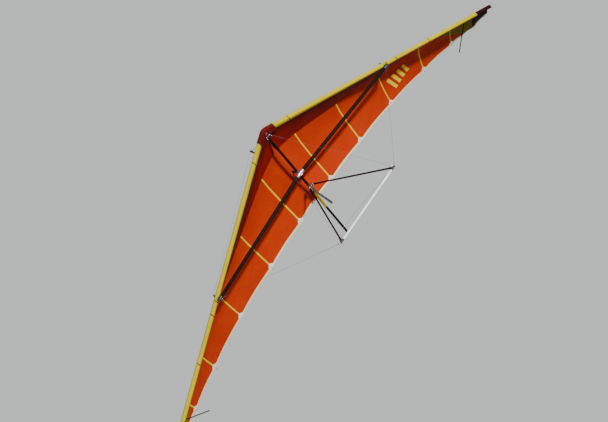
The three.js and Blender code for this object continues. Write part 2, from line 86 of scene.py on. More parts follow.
tipX = wing["trailingEdge"][-1][0]

# The glider stands nose up: the mounts at the keel's end and the kingpost's top turn its frame into the row's
mounts = {mount["name"]: mount for mount in frame["record"]["mounts"]}
aftWay = Vector(mounts["keel_end"]["axis"]).normalized()
upWay = Vector(mounts["kingpost_top"]["axis"]).normalized()
noseSpot = Vector(mounts["keel_end"]["pos_m"]) - aftWay * wing["keelLength"] / 1000
gliderToRow = Matrix.Translation(noseSpot) @ Matrix(
    ((1, aftWay.x, upWay.x, 0), (0, aftWay.y, upWay.y, 0), (0, aftWay.z, upWay.z, 0), (0, 0, 0, 1))
) @ Matrix.Scale(0.001, 4)


def mix(a, b, share):  # for numbers, and for vectors too
    return a + (b - a) * share


def clamp(value, low=0.0):
    return max(low, min(1.0, value))


def leadingEdgeY(x):
    return x * cotNose


def seamY(x):
    return max(680 + 0.457 * x, leadingEdgeY(x) + 130)


def onLeadingEdge(along, side, z=0.0):
    angle = wing["noseHalfAngle"]
    return Vector((side * along * math.sin(angle), along * math.cos(angle), z))


def edgeAt(x):
    table = wing["trailingEdge"]
    i = next((k for k in range(1, len(table)) if x <= table[k][0]), len(table) - 1) - 1
    a, b = table[i], table[i + 1]
    share = (x - a[0]) / (b[0] - a[0])
    arch = 4 * share * (1 - share)
    return (mix(a[1], b[1], share) - wing["scallopDepth"] * arch,
            mix(a[2], b[2], share) + wing["billow"] * arch, mix(a[3], b[3], share))


def frontY(x):
    return leadingEdgeY(x) + wing["pocketRadius"] * noseStretch * math.cos(noseTopAngle)


def skinHeight(x, y):  # the CAD cloth's outer face
    edgeY, edgeZ, camber = edgeAt(x)
    chord = edgeY - frontY(x)
    share = clamp((y - frontY(x)) / chord)
    bow = camber * chord * math.sin(math.pi * share ** 0.75)
    return mix(wing["pocketRadius"] * math.sin(noseTopAngle), edgeZ, share) + bow


def panelUnits(x):  # counts sail panels from the root: a whole number at each batten
    knots = (0,) + wing["battenStations"] + (tipX,)
    for i in range(len(knots) - 1):
        if x <= knots[i + 1]:
            return i + (x - knots[i]) / (knots[i + 1] - knots[i])
    return len(knots) - 1


def underTangent(x):  # angle on the nose curve where the lower surface leaves it, and where that surface ends
    seam = seamY(x)
    end = (seam, skinHeight(x, seam) - 4)
    reach = (seam - leadingEdgeY(x)) / noseStretch
    angle = math.atan2(end[1], reach) - math.acos(wing["pocketRadius"] / math.hypot(reach, end[1]))
    return angle, end


def noseCurve(x, radius, angle):  # a point of the cloth where it wraps round the leading edge, y and z
    return leadingEdgeY(x) + radius * noseStretch * math.cos(angle), radius * math.sin(angle)


def stations(first, last, step, keep=()):  # even steps from first to last that also meet every mark in keep
    marks = sorted({first, last, *[k for k in keep if first < k < last]})
    found = []
    for a, b in zip(marks, marks[1:]):
        count = max(1, math.ceil((b - a) / step))
        found += [mix(a, b, i / count) for i in range(count)]
    return found + [last]


def shares(count):
    return [i / count for i in range(count + 1)]


def bothWays(count):  # from -1 to 1
    return [i / count - 1 for i in range(2 * count + 1)]


# Materials: every one is procedural and reads the piece's own UV or object coordinates
def addNode(tree, kind, **values):
    node = tree.nodes.new("ShaderNode" + kind)
    for name, value in values.items():
        if name in node.bl_rna.properties:
            setattr(node, name, value)
            continue
        numbered = name[0] == "i" and name[1:].isdigit()
        socket = node.inputs[int(name[1:])] if numbered else node.inputs[name.replace("_", " ")]
        if isinstance(value, bpy.types.NodeSocket):
            tree.links.new(value, socket)
        else:
            socket.default_value = value
    return node


def calc(tree, operation, a, b=0.0):
    return addNode(tree, "Math", operation=operation, i0=a, i1=b).outputs[0]


def times(tree, a, b):
    return calc(tree, "MULTIPLY", a, b)


def plus(tree, a, b):
    return calc(tree, "ADD", a, b)


def ribs(tree, value, pitch):  # rounded ridges, one at each pitch
    return calc(tree, "ABSOLUTE", calc(tree, "SINE", times(tree, value, math.pi / pitch)))


def dimmed(colour, share):
    return tuple(share * c for c in colour)


def blendColour(tree, share, a, b):
    node = tree.nodes.new("ShaderNodeMix")
    node.data_type = "RGBA"
    for socket, value in ((node.inputs[0], share), (node.inputs[6], a), (node.inputs[7], b)):
        if isinstance(value, bpy.types.NodeSocket):
            tree.links.new(value, socket)
        else:
            socket.default_value = value if not isinstance(value, tuple) else (*value, 1)[:4]
    return node.outputs[2]


def startFinish(name, roughness, metallic=0.0, **fixed):
    material = bpy.data.materials.new(name)
    material.use_nodes = True
    tree = material.node_tree
    shader = tree.nodes["Principled BSDF"]
    shader.inputs["Roughness"].default_value = roughness
    shader.inputs["Metallic"].default_value = metallic
    for key, value in fixed.items():
        shader.inputs[key.replace("_", " ")].default_value = value
    return material, tree, shader


def noise(tree, where, scale, detail=3.0, roughness=0.55):
    return addNode(tree, "TexNoise", Vector=where, Scale=scale, Detail=detail, Roughness=roughness).outputs[0]


def ramp(tree, value, low, high, start=0.0, end=1.0):
    return addNode(tree, "MapRange", Value=value, From_Min=low, From_Max=high,
                   To_Min=start, To_Max=end).outputs[0]


def lineAt(tree, distance, half, soft):  # 1 on a line of that half width, 0 off it
    return ramp(tree, calc(tree, "ABSOLUTE", distance), half + soft, half)


def stitchRow(tree, distance):  # a row of thread 6 mm to each side of a seam
    return lineAt(tree, calc(tree, "SUBTRACT", calc(tree, "ABSOLUTE", distance), 0.006), 0.0009, 0.0006)


def objectPlace(tree):
    return addNode(tree, "TexCoord").outputs["Object"]


def onCloth(tree, layer="cloth"):
    return addNode(tree, "UVMap", uv_map=layer).outputs[0]


def splitUp(tree, vector):
    return addNode(tree, "SeparateXYZ", Vector=vector).outputs


def finishUp(tree, shader, base, height, strength, distance, rough=None):
    tree.links.new(base, shader.inputs["Base Color"])
    if rough:
        tree.links.new(rough, shader.inputs["Roughness"])
    bump = addNode(tree, "Bump", Strength=strength, Distance=distance, Height=height)
    tree.links.new(bump.outputs[0], shader.inputs["Normal"])


def clothFinish(name, colour, shade, roughness=0.62, seams=False, paintedShadeFrom=None, crease=1.0, gloss=0.10):
    material, tree, shader = startFinish(name, roughness, Specular_IOR_Level=gloss)
    cloth, place = onCloth(tree), objectPlace(tree)
    across, along = [addNode(tree, "TexWave", wave_type="BANDS", bands_direction=way, Vector=cloth,
                             Scale=210.0).outputs[1] for way in "XY"]
    weave = times(tree, plus(tree, across, along), 0.5)
    mottle = noise(tree, place, 1.7, 4.0, 0.6)
    crinkle = noise(tree, place, 22.0, 5.0, 0.6)
    base = blendColour(tree, ramp(tree, mottle, 0.38, 0.66), colour, shade)
    base = blendColour(tree, ramp(tree, crinkle, 0.45, 0.75, 0.0, 0.22), base, dimmed(colour, 0.72))
    if paintedShadeFrom:  # painted shade: the cloth darkens towards the leading edge, in place of the shadow that the edge casts behind it
        depth = splitUp(tree, cloth)[1]
        base = blendColour(tree, ramp(tree, depth, 0.02, paintedShadeFrom[1], 1.0, 0.0), base, paintedShadeFrom[0])
    height = plus(tree, times(tree, weave, 0.10), times(tree, crinkle, 0.9 * crease))
    if seams:  # panel seams at and between the battens, and one along the trailing edge
        panels = splitUp(tree, onCloth(tree, "panels"))
        halfPanels = plus(tree, times(tree, panels[0], 2.0), 0.5)
        seamAway = times(tree, calc(tree, "SUBTRACT", calc(tree, "FRACT", halfPanels), 0.5), 0.45)
        tapeAway = calc(tree, "SUBTRACT", panels[1], 0.36)
        laps = [lineAt(tree, distance, 0.009, 0.001) for distance in (seamAway, tapeAway)]
        lap = calc(tree, "MAXIMUM", *laps)
        rows = calc(tree, "MAXIMUM", stitchRow(tree, seamAway), stitchRow(tree, tapeAway))
        run = splitUp(tree, cloth)
        dash = calc(tree, "FRACT", times(tree, plus(tree, run[0], run[1]), 160.0))
        stitch = times(tree, rows, calc(tree, "LESS_THAN", dash, 0.6))
        base = blendColour(tree, times(tree, lap, 0.22), base, dimmed(shade, 0.62))
        base = blendColour(tree, times(tree, stitch, 0.7), base, (0.60, 0.10, 0.02))
        height = plus(tree, height, times(tree, lap, 0.5))
        height = calc(tree, "SUBTRACT", height, times(tree, stitch, 0.35))
    rough = ramp(tree, mottle, 0.3, 0.7, roughness - 0.07, roughness + 0.09)
    finishUp(tree, shader, base, height, 0.55, 0.0014, rough)
    return material


def metalFinish(name, colour, worn, roughness, metallic, wear=0.5, coat=0.0, gloss=0.5):
    material, tree, shader = startFinish(name, roughness, metallic, Coat_Weight=coat, Coat_Roughness=0.2,
                                         Specular_IOR_Level=gloss)
    place = objectPlace(tree)
    brushed = addNode(tree, "Mapping", Vector=place, Scale=(90.0, 14.4, 90.0)).outputs[0]
    grain = noise(tree, brushed, 4.0, 4.0, 0.6)
    patches = noise(tree, place, 9.0, 5.0, 0.65)
    scuffs = ramp(tree, noise(tree, place, 46.0, 6.0, 0.7), 0.60, 0.74)
    base = blendColour(tree, ramp(tree, patches, 0.35, 0.7, 0.0, 0.45), colour, dimmed(colour, 0.6))
    base = blendColour(tree, times(tree, scuffs, wear), base, worn)
    height = plus(tree, grain, times(tree, scuffs, -0.6))
    rough = ramp(tree, grain, 0.3, 0.7, roughness - 0.08, roughness + 0.12)
    finishUp(tree, shader, base, height, 0.22, 0.0004, rough)
    return material


def strandFinish(name, colour, grooveShadeAndSoot, turns, lay, roughness, metallic):  # twisted cable or braided line
    material, tree, shader = startFinish(name, roughness, metallic)
    run = splitUp(tree, onCloth(tree))
    strand = ribs(tree, plus(tree, times(tree, run[0], turns), times(tree, run[1], 1 / lay)), 1)
    soot = noise(tree, objectPlace(tree), 14.0, 4.0)
    # painted shade: the grooves between the strands are darker than their tops; the soot noise below darkens at
    # random
    base = blendColour(tree, ramp(tree, strand, 0.1, 0.7), grooveShadeAndSoot, colour)
    base = blendColour(tree, ramp(tree, soot, 0.45, 0.7, 0.0, 0.4), base, grooveShadeAndSoot)
    finishUp(tree, shader, base, strand, 0.8, 0.0006)
    return material


def webbingFinish(name, colour, highlightAndFuzz):
    material, tree, shader = startFinish(name, 0.82, Sheen_Weight=0.25)
    run = splitUp(tree, onCloth(tree))
    twill = times(tree, ribs(tree, run[1], 0.0022), ribs(tree, run[0], 0.0035))
    fuzz = noise(tree, objectPlace(tree), 60.0, 4.0)
    # painted highlight and shade: the twill's raised threads are lighter and its grooves darker; the fuzz noise
    # below lightens at random
    base = blendColour(tree, ramp(tree, twill, 0.1, 0.9), colour, highlightAndFuzz)
    base = blendColour(tree, ramp(tree, fuzz, 0.5, 0.8, 0.0, 0.3), base, dimmed(highlightAndFuzz, 1.6))
    finishUp(tree, shader, base, twill, 0.7, 0.0007)
    return material


def plasticFinish(name, colour, roughness):
    material, tree, shader = startFinish(name, roughness, Specular_IOR_Level=0.45)
    fine, wide = noise(tree, objectPlace(tree), 420.0, 2.0), noise(tree, objectPlace(tree), 11.0, 5.0, 0.65)
    dusty = tuple(min(1.0, c * 1.3 + 0.05) for c in colour)
    base = blendColour(tree, ramp(tree, wide, 0.5, 0.75, 0.0, 0.35), colour, dusty)
    rough = ramp(tree, wide, 0.3, 0.7, roughness - 0.06, roughness + 0.12)
    finishUp(tree, shader, base, fine, 0.3, 0.0003, rough)
    return material


sailRed = clothFinish("sailRed", (0.5, 0.033, 0.001), (0.44, 0.024, 0.001), seams=True)
# The lower surface's cloth is painted darker towards the leading edge: painted shade
frontRed = clothFinish("frontRed", (0.3, 0.006, 0.003), (0.23, 0.004, 0.003),
                       paintedShadeFrom=((0.05, 0.002, 0.001), 0.38))
coverRed = clothFinish("coverRed", (0.14, 0.005, 0.003), (0.06, 0.003, 0.002), crease=1.6)
tipDark = clothFinish("tipDark", (0.03, 0.003, 0.002), (0.015, 0.002, 0.002))
stripYellow = clothFinish("stripYellow", (0.52, 0.42, 0.002), (0.47, 0.36, 0.002), roughness=0.6, gloss=0.06)
pocketYellow = clothFinish("pocketYellow", (0.78, 0.64, 0.03), (0.74, 0.58, 0.02), roughness=0.55)
edgeCream = clothFinish("edgeCream", (0.86, 0.81, 0.46), (0.82, 0.74, 0.36), roughness=0.58)
patchWhite = clothFinish("patchWhite", (0.9, 0.87, 0.68), (0.83, 0.79, 0.57), roughness=0.6)
# The tip panel's yellow cloth is darkened to olive: painted shade
tipOlive = clothFinish("tipOlive", (0.22, 0.17, 0.002), (0.17, 0.13, 0.002), roughness=0.6, gloss=0.06)
bindingDark = clothFinish("bindingDark", (0.030, 0.012, 0.012), (0.018, 0.010, 0.010), roughness=0.75)
tubeBlack = metalFinish("tubeBlack", (0.010, 0.005, 0.004), (0.07, 0.055, 0.05), 0.58, 0.0, wear=0.3,
                        gloss=0.07)
tubeBare = metalFinish("tubeBare", (0.80, 0.81, 0.82), (0.93, 0.94, 0.95), 0.26, 0.9)
barWhite = metalFinish("barWhite", (0.93, 0.93, 0.92), (0.98, 0.98, 0.98), 0.32, 0.05, coat=0.3)
alloy = metalFinish("alloy", (0.58, 0.57, 0.55), (0.85, 0.85, 0.84), 0.34, 0.95)
steel = metalFinish("steel", (0.62, 0.61, 0.60), (0.9, 0.9, 0.9), 0.22, 1.0, wear=0.3)
fittingBlack = plasticFinish("fittingBlack", (0.016, 0.014, 0.013), 0.46)
plugWhite = plasticFinish("plugWhite", (0.82, 0.80, 0.74), 0.42)
cable = strandFinish("cable", (0.11, 0.10, 0.10), (0.02, 0.018, 0.018), 6, 0.016, 0.42, 0.55)
braid = strandFinish("braid", (0.80, 0.76, 0.66), (0.42, 0.38, 0.30), 8, 0.007, 0.75, 0.0)
strapBlack = webbingFinish("strapBlack", (0.012, 0.011, 0.011), (0.035, 0.033, 0.032))
strapThread = webbingFinish("strapThread", (0.60, 0.20, 0.05), (0.85, 0.42, 0.12))
print("stage: materials made")


def addPiece(name, bm, finishes, replaces=(), body="airframe", smooth=38, fromGlider=True):
    if fromGlider:
        bmesh.ops.transform(bm, matrix=gliderToRow, verts=bm.verts)
    mesh = bpy.data.meshes.new(name)
    bm.to_mesh(mesh)
    bm.free()
    for finish in finishes:
        mesh.materials.append(finish)
    mesh.shade_smooth()
    mesh.set_sharp_from_angle(angle=math.radians(smooth))
    piece = bpy.data.objects.new(name, mesh)
    bpy.context.scene.collection.objects.link(piece)
    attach(piece, body)
    if replaces:
        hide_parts(*replaces)
    return piece


def uvLayer(bm, name="cloth"):
    return bm.loops.layers.uv.get(name) or bm.loops.layers.uv.new(name)


awayFromSeams = (0.25, 0.1)


def sheetGrid(bm, columns, rows, spotAt, finishAt=None):
    # spotAt(column, row) gives the place and the flat cloth's coordinates, in mm, and with seams the panel's
    made = bmesh.ops.create_grid(bm, x_segments=len(columns) - 1, y_segments=len(rows) - 1, size=1)["verts"]
    cloth, panels = uvLayer(bm), uvLayer(bm, "panels")
    spots, lines = {}, {}
    for vert in made:
        column = columns[round((vert.co.x + 1) / 2 * (len(columns) - 1))]
        row = rows[round((vert.co.y + 1) / 2 * (len(rows) - 1))]
        place, flat, *seams = spotAt(column, row)
        spots[vert] = (flat, seams[0] if seams else awayFromSeams)
        lines[vert] = (row, column)
        vert.co = place
    for face in {face for vert in made for face in vert.link_faces}:
        if finishAt:
            ends = zip(*[lines[vert] for vert in face.verts])
            face.material_index = finishAt(*[max(values) for values in ends])
        for loop in face.loops:
            flat, seams = spots[loop.vert]
            loop[cloth].uv = (flat[0] / 1000, flat[1] / 1000)
            loop[panels].uv = seams


def thicken(bm, thickness, dist=0.02):
    bmesh.ops.remove_doubles(bm, verts=bm.verts, dist=dist)
    bmesh.ops.recalc_face_normals(bm, faces=bm.faces)
    bmesh.ops.solidify(bm, geom=bm.faces[:], thickness=thickness)
    if bm.calc_volume(signed=True) < 0:
        bmesh.ops.reverse_faces(bm, faces=bm.faces)


def onBothHalves(pieceName, grids, thickness, finishes, cadName=None, smooth=60, finishAt=None,
                 dist=0.02):
    # The same cloth on both halves: each grid has columns, rows and spotAt(side, column, row)
    made = {}
    for name, side in halves:
        bm = bmesh.new()
        for columns, rows, spotAt in grids:
            sheetGrid(bm, columns, rows, lambda column, row: spotAt(side, column, row), finishAt)
        thicken(bm, thickness, dist)
        replaced = [f"{cadName}_{name}"] if cadName else ()
        made[name] = addPiece(f"{pieceName}_{name}", bm, finishes, replaces=replaced, smooth=smooth)
    return made


# Sail: the upper skin, from under the leading edge over the top to the trailing edge
sail = {
    "noseShare": 0.12, "skinDrop": 1.8, "thickness": 1.2, "step": 46, "rows": 64, "ridge": 2.2, "ripple": 2.4,
    "frontFrom": 163, "tipFrom": 4630,
}


def ripple(x, y):
    edgeY = edgeAt(x)[0]
    share = clamp((y - frontY(x)) / (edgeY - frontY(x)))
    between = abs(math.sin(math.pi * panelUnits(x)))
    free = 4 * share * (1 - share)
    waves = math.sin(x / 47 + y / 190) + 0.7 * math.sin(x / 83 - y / 120 + 1.3)
    waves += 0.5 * math.sin(y / 61 + x / 300)
    ridge = sum(math.exp(-((x - b) / 16) ** 2) for b in wing["battenStations"]) * clamp((y - seamY(x)) / 60)
    return sail["ripple"] * 0.5 * waves * between * free + sail["ridge"] * ridge * clamp((edgeY - y) / 90)


def skinLevel(x, y):  # the middle of the upper skin's cloth
    return skinHeight(x, y) - sail["skinDrop"] + ripple(x, y)


def skinSpot(side, x, share):
    edgeY = edgeAt(x)[0]
    cutX = wing["noseCutRadius"] * math.sin(wing["noseHalfAngle"])
    if x >= cutX and share < sail["noseShare"]:
        radius = wing["pocketRadius"] - sail["skinDrop"]
        angle = mix(underTangent(x)[0] + 2 * math.pi, noseTopAngle, share / sail["noseShare"])
        y, z = noseCurve(x, radius, angle)
        z += ripple(x, y)
        back = -radius * (angle - noseTopAngle)
    else:
        if x < cutX:
            y = mix(math.sqrt(wing["noseCutRadius"] ** 2 - x * x), edgeY, share)
        else:
            y = mix(frontY(x), edgeY, ((share - sail["noseShare"]) / (1 - sail["noseShare"])) ** 1.15)
        z = skinLevel(x, y)
        back = y - frontY(x)
    return Vector((side * x, y, z)), (x, back), (panelUnits(x), (edgeY - y) / 1000)


def skinFinish(row, column):  # dark beyond the tip seam, front cloth where the skin passes the leading edge
    if column > sail["tipFrom"] + 1:
        return 2
    return 1 if column > sail["frontFrom"] + 1 and row <= sail["noseShare"] + 0.001 else 0


battenLines = [b + off for b in wing["battenStations"] for off in (-30, -15, -7, 0, 7, 15, 30)]
edgeMarks = [mark[0] for mark in wing["trailingEdge"][1:]]
skinMarks = [*battenLines, *edgeMarks, 60, 120, sail["frontFrom"], 200, sail["tipFrom"]]
skinColumns = stations(0.3, tipX, sail["step"], skinMarks)
skins = onBothHalves("sailSkin", [(skinColumns, shares(sail["rows"]), skinSpot)], sail["thickness"],
                     [sailRed, frontRed, tipDark], "sail", finishAt=skinFinish)

# The lower surface of the doubled front: from below the leading edge back to the seam
lower = {
    "rows": 22, "rise": 2.2, "sag": 5.0, "thickness": 1.2, "rootGap": 30, "tipGap": 3, "below": 0.8,
    "rootDrop": 3.4,
}


def lowerSpot(side, x, share):
    angle, end = underTangent(x)
    start = noseCurve(x, wing["pocketRadius"] - lower["rise"], angle)
    endZ = end[1] - lower["below"] - lower["rootDrop"] * clamp(1.3 - x / 300) + ripple(x, end[0])
    y, z = mix(start[0], end[0], share), mix(start[1], endZ, share)
    length = math.hypot(end[0] - start[0], end[1] - start[1])
    sag = lower["sag"] * math.sin(math.pi * share) * clamp(length / 500)
    wave = 1.4 * math.sin(x / 52 + share * 2.2) * math.sin(math.pi * share)
    return Vector((side * x, y, z - sag + wave)), (x, share * length)


lowerEnd = tipX - lower["tipGap"]
lowerColumns = [c for c in skinColumns if lower["rootGap"] + 3 < c < lowerEnd]
lowerColumns = [lower["rootGap"], *lowerColumns, lowerEnd]
lowers = onBothHalves("lowerSurface", [(lowerColumns, shares(lower["rows"]), lowerSpot)], lower["thickness"],
                      [frontRed])

# Bright strips round the leading edge, with gaps where the panels are joined
strip = {
    "spans": ((182, 452), (464, 2462), (2476, 2672), (2686, 3428), (3442, 4620)),
    "topBack": 70, "underBack": 46, "lift": 0.4, "thickness": 1.0, "step": 60, "rows": 28,
}


def stripSpot(side, x, share):  # the outer quarters lie on the sail, the middle half wraps the leading edge
    angle, end = underTangent(x)
    radius = wing["pocketRadius"] + strip["lift"]
    if share < 0.25:
        run = -strip["topBack"] * (1 - share / 0.25)
        y = frontY(x) - run
        z = skinHeight(x, y) + strip["lift"]
    elif share <= 0.75:
        turn = mix(noseTopAngle, angle + 2 * math.pi, (share - 0.25) / 0.5)
        y, z = noseCurve(x, radius, turn)
        run = radius * (turn - noseTopAngle)
    else:
        start = noseCurve(x, radius, angle)
        way = (end[0] - start[0], end[1] - start[1])
        run = strip["underBack"] * (share - 0.75) / 0.25
        part = run / math.hypot(*way)
        y, z = start[0] + way[0] * part, start[1] + way[1] * part - strip["lift"]
        run += radius * (angle + 2 * math.pi - noseTopAngle)
    return Vector((side * x, y, z)), (x, run)


stripGrids = [(stations(first, last, strip["step"]), shares(strip["rows"]), stripSpot)
              for first, last in strip["spans"]]
strips = onBothHalves("leadingEdgeStrip", stripGrids, strip["thickness"], [stripYellow])

# A panel of yellow cloth below each tip, darkened to olive as painted shade, that widens from the strip to the
# whole chord at the strut
wedge = {
    "from": 3700, "strut": 4335, "to": 4624, "share": 0.80, "behindEdge": 66, "lift": 1.1, "thickness": 0.8,
    "step": 30, "rows": 16,
}


def underHeight(x, y):  # the underside's height, on the lower surface or behind it on the skin
    angle, end = underTangent(x)
    start = noseCurve(x, wing["pocketRadius"] - lower["rise"], angle)
    behind = skinLevel(x, y) - sail["thickness"]
    if y >= end[0]:
        return behind
    share = clamp((y - start[0]) / (end[0] - start[0]))
    length = math.hypot(end[0] - start[0], end[1] - start[1])
    sag = lower["sag"] * math.sin(math.pi * share) * clamp(length / 500)
    level = mix(start[1], end[1] - lower["below"] + ripple(x, end[0]), share)
    return min(behind, level - lower["thickness"] - sag)


def wedgeSpot(side, x, share):
    first = leadingEdgeY(x) + wedge["behindEdge"]
    grow = clamp((x - wedge["from"]) / (wedge["strut"] - wedge["from"]))
    chordShare = mix(0.02, wedge["share"], grow) if x <= wedge["strut"] + 1 else 1.0
    y = mix(first, mix(first, edgeAt(x)[0] - 3, chordShare), share)
    return Vector((side * x, y, underHeight(x, y) - wedge["lift"])), (x, y - first)


wedgeColumns = stations(wedge["from"], wedge["strut"], wedge["step"])
wedgeColumns += stations(wedge["strut"] + 6, wedge["to"], wedge["step"])
onBothHalves("tipWedge", [(wedgeColumns, shares(wedge["rows"]), wedgeSpot)], wedge["thickness"], [tipOlive])

# Tape folded round the trailing edge, out to the tip
tape = {"wide": 44, "thickness": 0.9, "lift": 0.9, "step": 40, "rows": 16}


def tapeSpot(side, x, share):
    edgeY = edgeAt(x)[0]
    place = skinSpot(side, x, 1.0)[0]
    slope = (skinHeight(x, edgeY - 1) - skinHeight(x, edgeY - 30)) / 29
    turn = math.pi * clamp((share - 0.35) / 0.3)
    back = 0.0
    if share < 0.35:
        back = tape["wide"] * (1 - share / 0.35)
    elif share > 0.65:
        back = tape["wide"] * (share - 0.65) / 0.35
    y = place.y - back + 2.0 * math.sin(turn)
    z = place.z - back * slope + (0.4 + tape["lift"]) * math.cos(turn) - 0.5
    return Vector((side * x, y, z)), (x, share * 60)


tapeGrid = (stations(0.3, tipX, tape["step"], edgeMarks), shares(tape["rows"]), tapeSpot)
tapes = onBothHalves("trailingEdgeTape", [tapeGrid], tape["thickness"], [edgeCream])

# Tip caps close the outer end of each half between the two surfaces
cap = {"noseRadius": 33, "bulge": 14, "inset": 2, "thickness": 1.0}


def capSpot(side, share, height):
    top = skinSpot(side, tipX, mix(sail["noseShare"] * 0.4, 1.0, share))[0]
    angle, end = underTangent(tipX)
    start = noseCurve(tipX, cap["noseRadius"], angle)
    low = top.z - 1.0
    if top.y < end[0]:
        low = mix(start[1], end[1], clamp((top.y - start[0]) / (end[0] - start[0])))
    bulge = cap["bulge"] * math.sin(math.pi * height) * math.sin(math.pi * clamp(share))
    place = Vector((side * (tipX - cap["inset"] + bulge), top.y, mix(low, top.z, height)))
    return place, (share * 360, height * 60)


onBothHalves("tipCap", [(shares(36), shares(8), capSpot)], cap["thickness"], [tipDark],
             dist=0.1)
print("stage: sail cloth laid")


# Rings, rods, links, bolts and cords for the hardware
def ringOf(bm, centre, axis, major, minor, steps=24, sides=8, finish=0):
    axis = axis.normalized()
    away = axis.orthogonal().normalized()
    turn = Matrix((away, axis.cross(away), axis)).transposed().to_4x4()
    before = set(bm.verts)
    profile = bmesh.ops.create_circle(bm, segments=sides, radius=minor)["verts"]
    bmesh.ops.rotate(bm, verts=profile, cent=(0, 0, 0), matrix=Matrix.Rotation(math.pi / 2, 3, "X"))
    bmesh.ops.translate(bm, verts=profile, vec=(major, 0, 0))
    edges = {edge for vert in profile for edge in vert.link_edges}
    bmesh.ops.spin(bm, geom=[*profile, *edges], cent=(0, 0, 0), axis=(0, 0, 1), angle=2 * math.pi,
                   steps=steps, use_merge=True)
    ring = [vert for vert in bm.verts if vert not in before]
    for face in {face for vert in ring for face in vert.link_faces}:
        face.material_index = finish
    bmesh.ops.transform(bm, matrix=Matrix.Translation(centre) @ turn, verts=ring)


def rodOf(bm, start, end, radius, sides=24, bevel=0.0, finish=0):
    start, end = Vector(start), Vector(end)
    way = end - start
    place = Matrix.Translation((start + end) / 2) @ way.to_track_quat("Z", "Y").to_matrix().to_4x4()
    made = bmesh.ops.create_cone(bm, cap_ends=True, cap_tris=False, segments=sides, radius1=radius,
                                 radius2=radius, depth=way.length, matrix=place)["verts"]
    faces = {face for vert in made for face in vert.link_faces}
    if bevel:
        rims = {edge for face in faces if len(face.verts) == sides for edge in face.edges}
        bevelled = bmesh.ops.bevel(bm, geom=list(rims), offset=bevel, offset_type="OFFSET", affect="EDGES",
                                   segments=2, profile=0.5, material=-1)["verts"]
        made = {*[vert for vert in made if vert.is_valid], *bevelled}
        faces = {face for vert in made for face in vert.link_faces}
    cloth = uvLayer(bm)
    axis = way.normalized()
    sideWay = axis.orthogonal().normalized()
    other = axis.cross(sideWay)
    for face in faces:
        face.material_index = finish
        middle = face.calc_center_median() - start
        turn = math.atan2(middle.dot(other), middle.dot(sideWay))
        for loop in face.loops:
            spot = loop.vert.co - start
            angle = math.atan2(spot.dot(other), spot.dot(sideWay))
            angle = turn + math.remainder(angle - turn, 2 * math.pi)
            loop[cloth].uv = (angle / (2 * math.pi), spot.dot(axis) / 1000)


tang = {"wide": 13, "thick": 2.4}


def tangOf(bm, start, end, normal, finish=0):  # a flat steel link with round ends
    start, end = Vector(start), Vector(end)
    way = (end - start).normalized()
    normal = (normal - way * normal.dot(way)).normalized()
    turn = Matrix((normal.cross(way), normal, way)).transposed().to_4x4()
    size = Matrix.Diagonal((tang["wide"], tang["thick"], (end - start).length, 1))
    place = Matrix.Translation((start + end) / 2) @ turn @ size
    made = bmesh.ops.create_cube(bm, size=1, matrix=place)["verts"]
    for face in {face for vert in made for face in vert.link_faces}:
        face.material_index = finish
    reach = normal * (tang["thick"] / 2 + 0.2)
    for spot in (start, end):
        rodOf(bm, spot - reach, spot + reach, tang["wide"] / 2, 20, 0.3, finish)


bolt = {"washer": 1.4, "washerWide": 1.9, "nut": 0.8, "nutWide": 1.55, "tip": 1.6, "tipWide": 0.85}


def boltOf(bm, head, axis, radius=5, reach=0.0, finish=0):  # washer, nut and thread end, and a shank at need
    axis, head = Vector(axis).normalized(), Vector(head)
    nutTop = bolt["washer"] + radius * bolt["nut"]
    washerTop, nutEnd, tip = [head + axis * rise for rise in (bolt["washer"], nutTop, nutTop + bolt["tip"])]
    rodOf(bm, head, washerTop, radius * bolt["washerWide"], 24, 0.3, finish)
    rodOf(bm, washerTop, nutEnd, radius * bolt["nutWide"], 6, 0.6, finish)
    rodOf(bm, nutEnd, tip, radius * bolt["tipWide"], 16, 0.4, finish)
    if reach:
        rodOf(bm, head, head - axis * reach, radius, 16, 0.0, finish)


def tubeThrough(bm, path, radius, sides=8, finish=0, closed=False):
    # A round cord along a path: a circle at each point, joined by bridge_loops
    rings, count = [], len(path)
    cloth = uvLayer(bm)
    normal = None
    for i, point in enumerate(path):
        before, after = path[max(i - 1, 0)], path[min(i + 1, count - 1)]
        if closed:
            before, after = path[i - 1], path[(i + 1) % count]
        axis = (after - before).normalized()
        normal = axis.orthogonal() if normal is None else normal - axis * normal.dot(axis)
        normal.normalize()
        turn = Matrix((normal, axis.cross(normal), axis)).transposed().to_4x4()
        rings.append(bmesh.ops.create_circle(bm, segments=sides, radius=radius, cap_ends=False,
                                             matrix=Matrix.Translation(point) @ turn)["verts"])
    faces = []
    run = 0.0
    pairs = list(zip(rings, rings[1:])) + ([(rings[-1], rings[0])] if closed else [])
    for k, (a, b) in enumerate(pairs):
        ringEdges = {edge for ring in (a, b) for vert in ring for edge in vert.link_edges
                     if edge.other_vert(vert) in ring}
        made = bmesh.ops.bridge_loops(bm, edges=list(ringEdges))["faces"]
        step = (path[(k + 1) % count] - path[k]).length / 1000
        for face in made:
            spots = [ring.index(vert) for ring in (a, b) for vert in face.verts if vert in ring]
            wraps = max(spots) - min(spots) > sides / 2
            for loop in face.loops:
                inA = loop.vert in a
                index = a.index(loop.vert) if inA else b.index(loop.vert)
                if wraps and index < sides / 2:
                    index += sides
                loop[cloth].uv = (index / sides, run if inA else run + step)
        run += step
        faces += made
    if not closed:
        for ring in (rings[0], rings[-1]):
            faces += bmesh.ops.contextual_create(bm, geom=ring)["faces"]
    for face in faces:
        face.material_index = finish
    bmesh.ops.recalc_face_normals(bm, faces=faces)


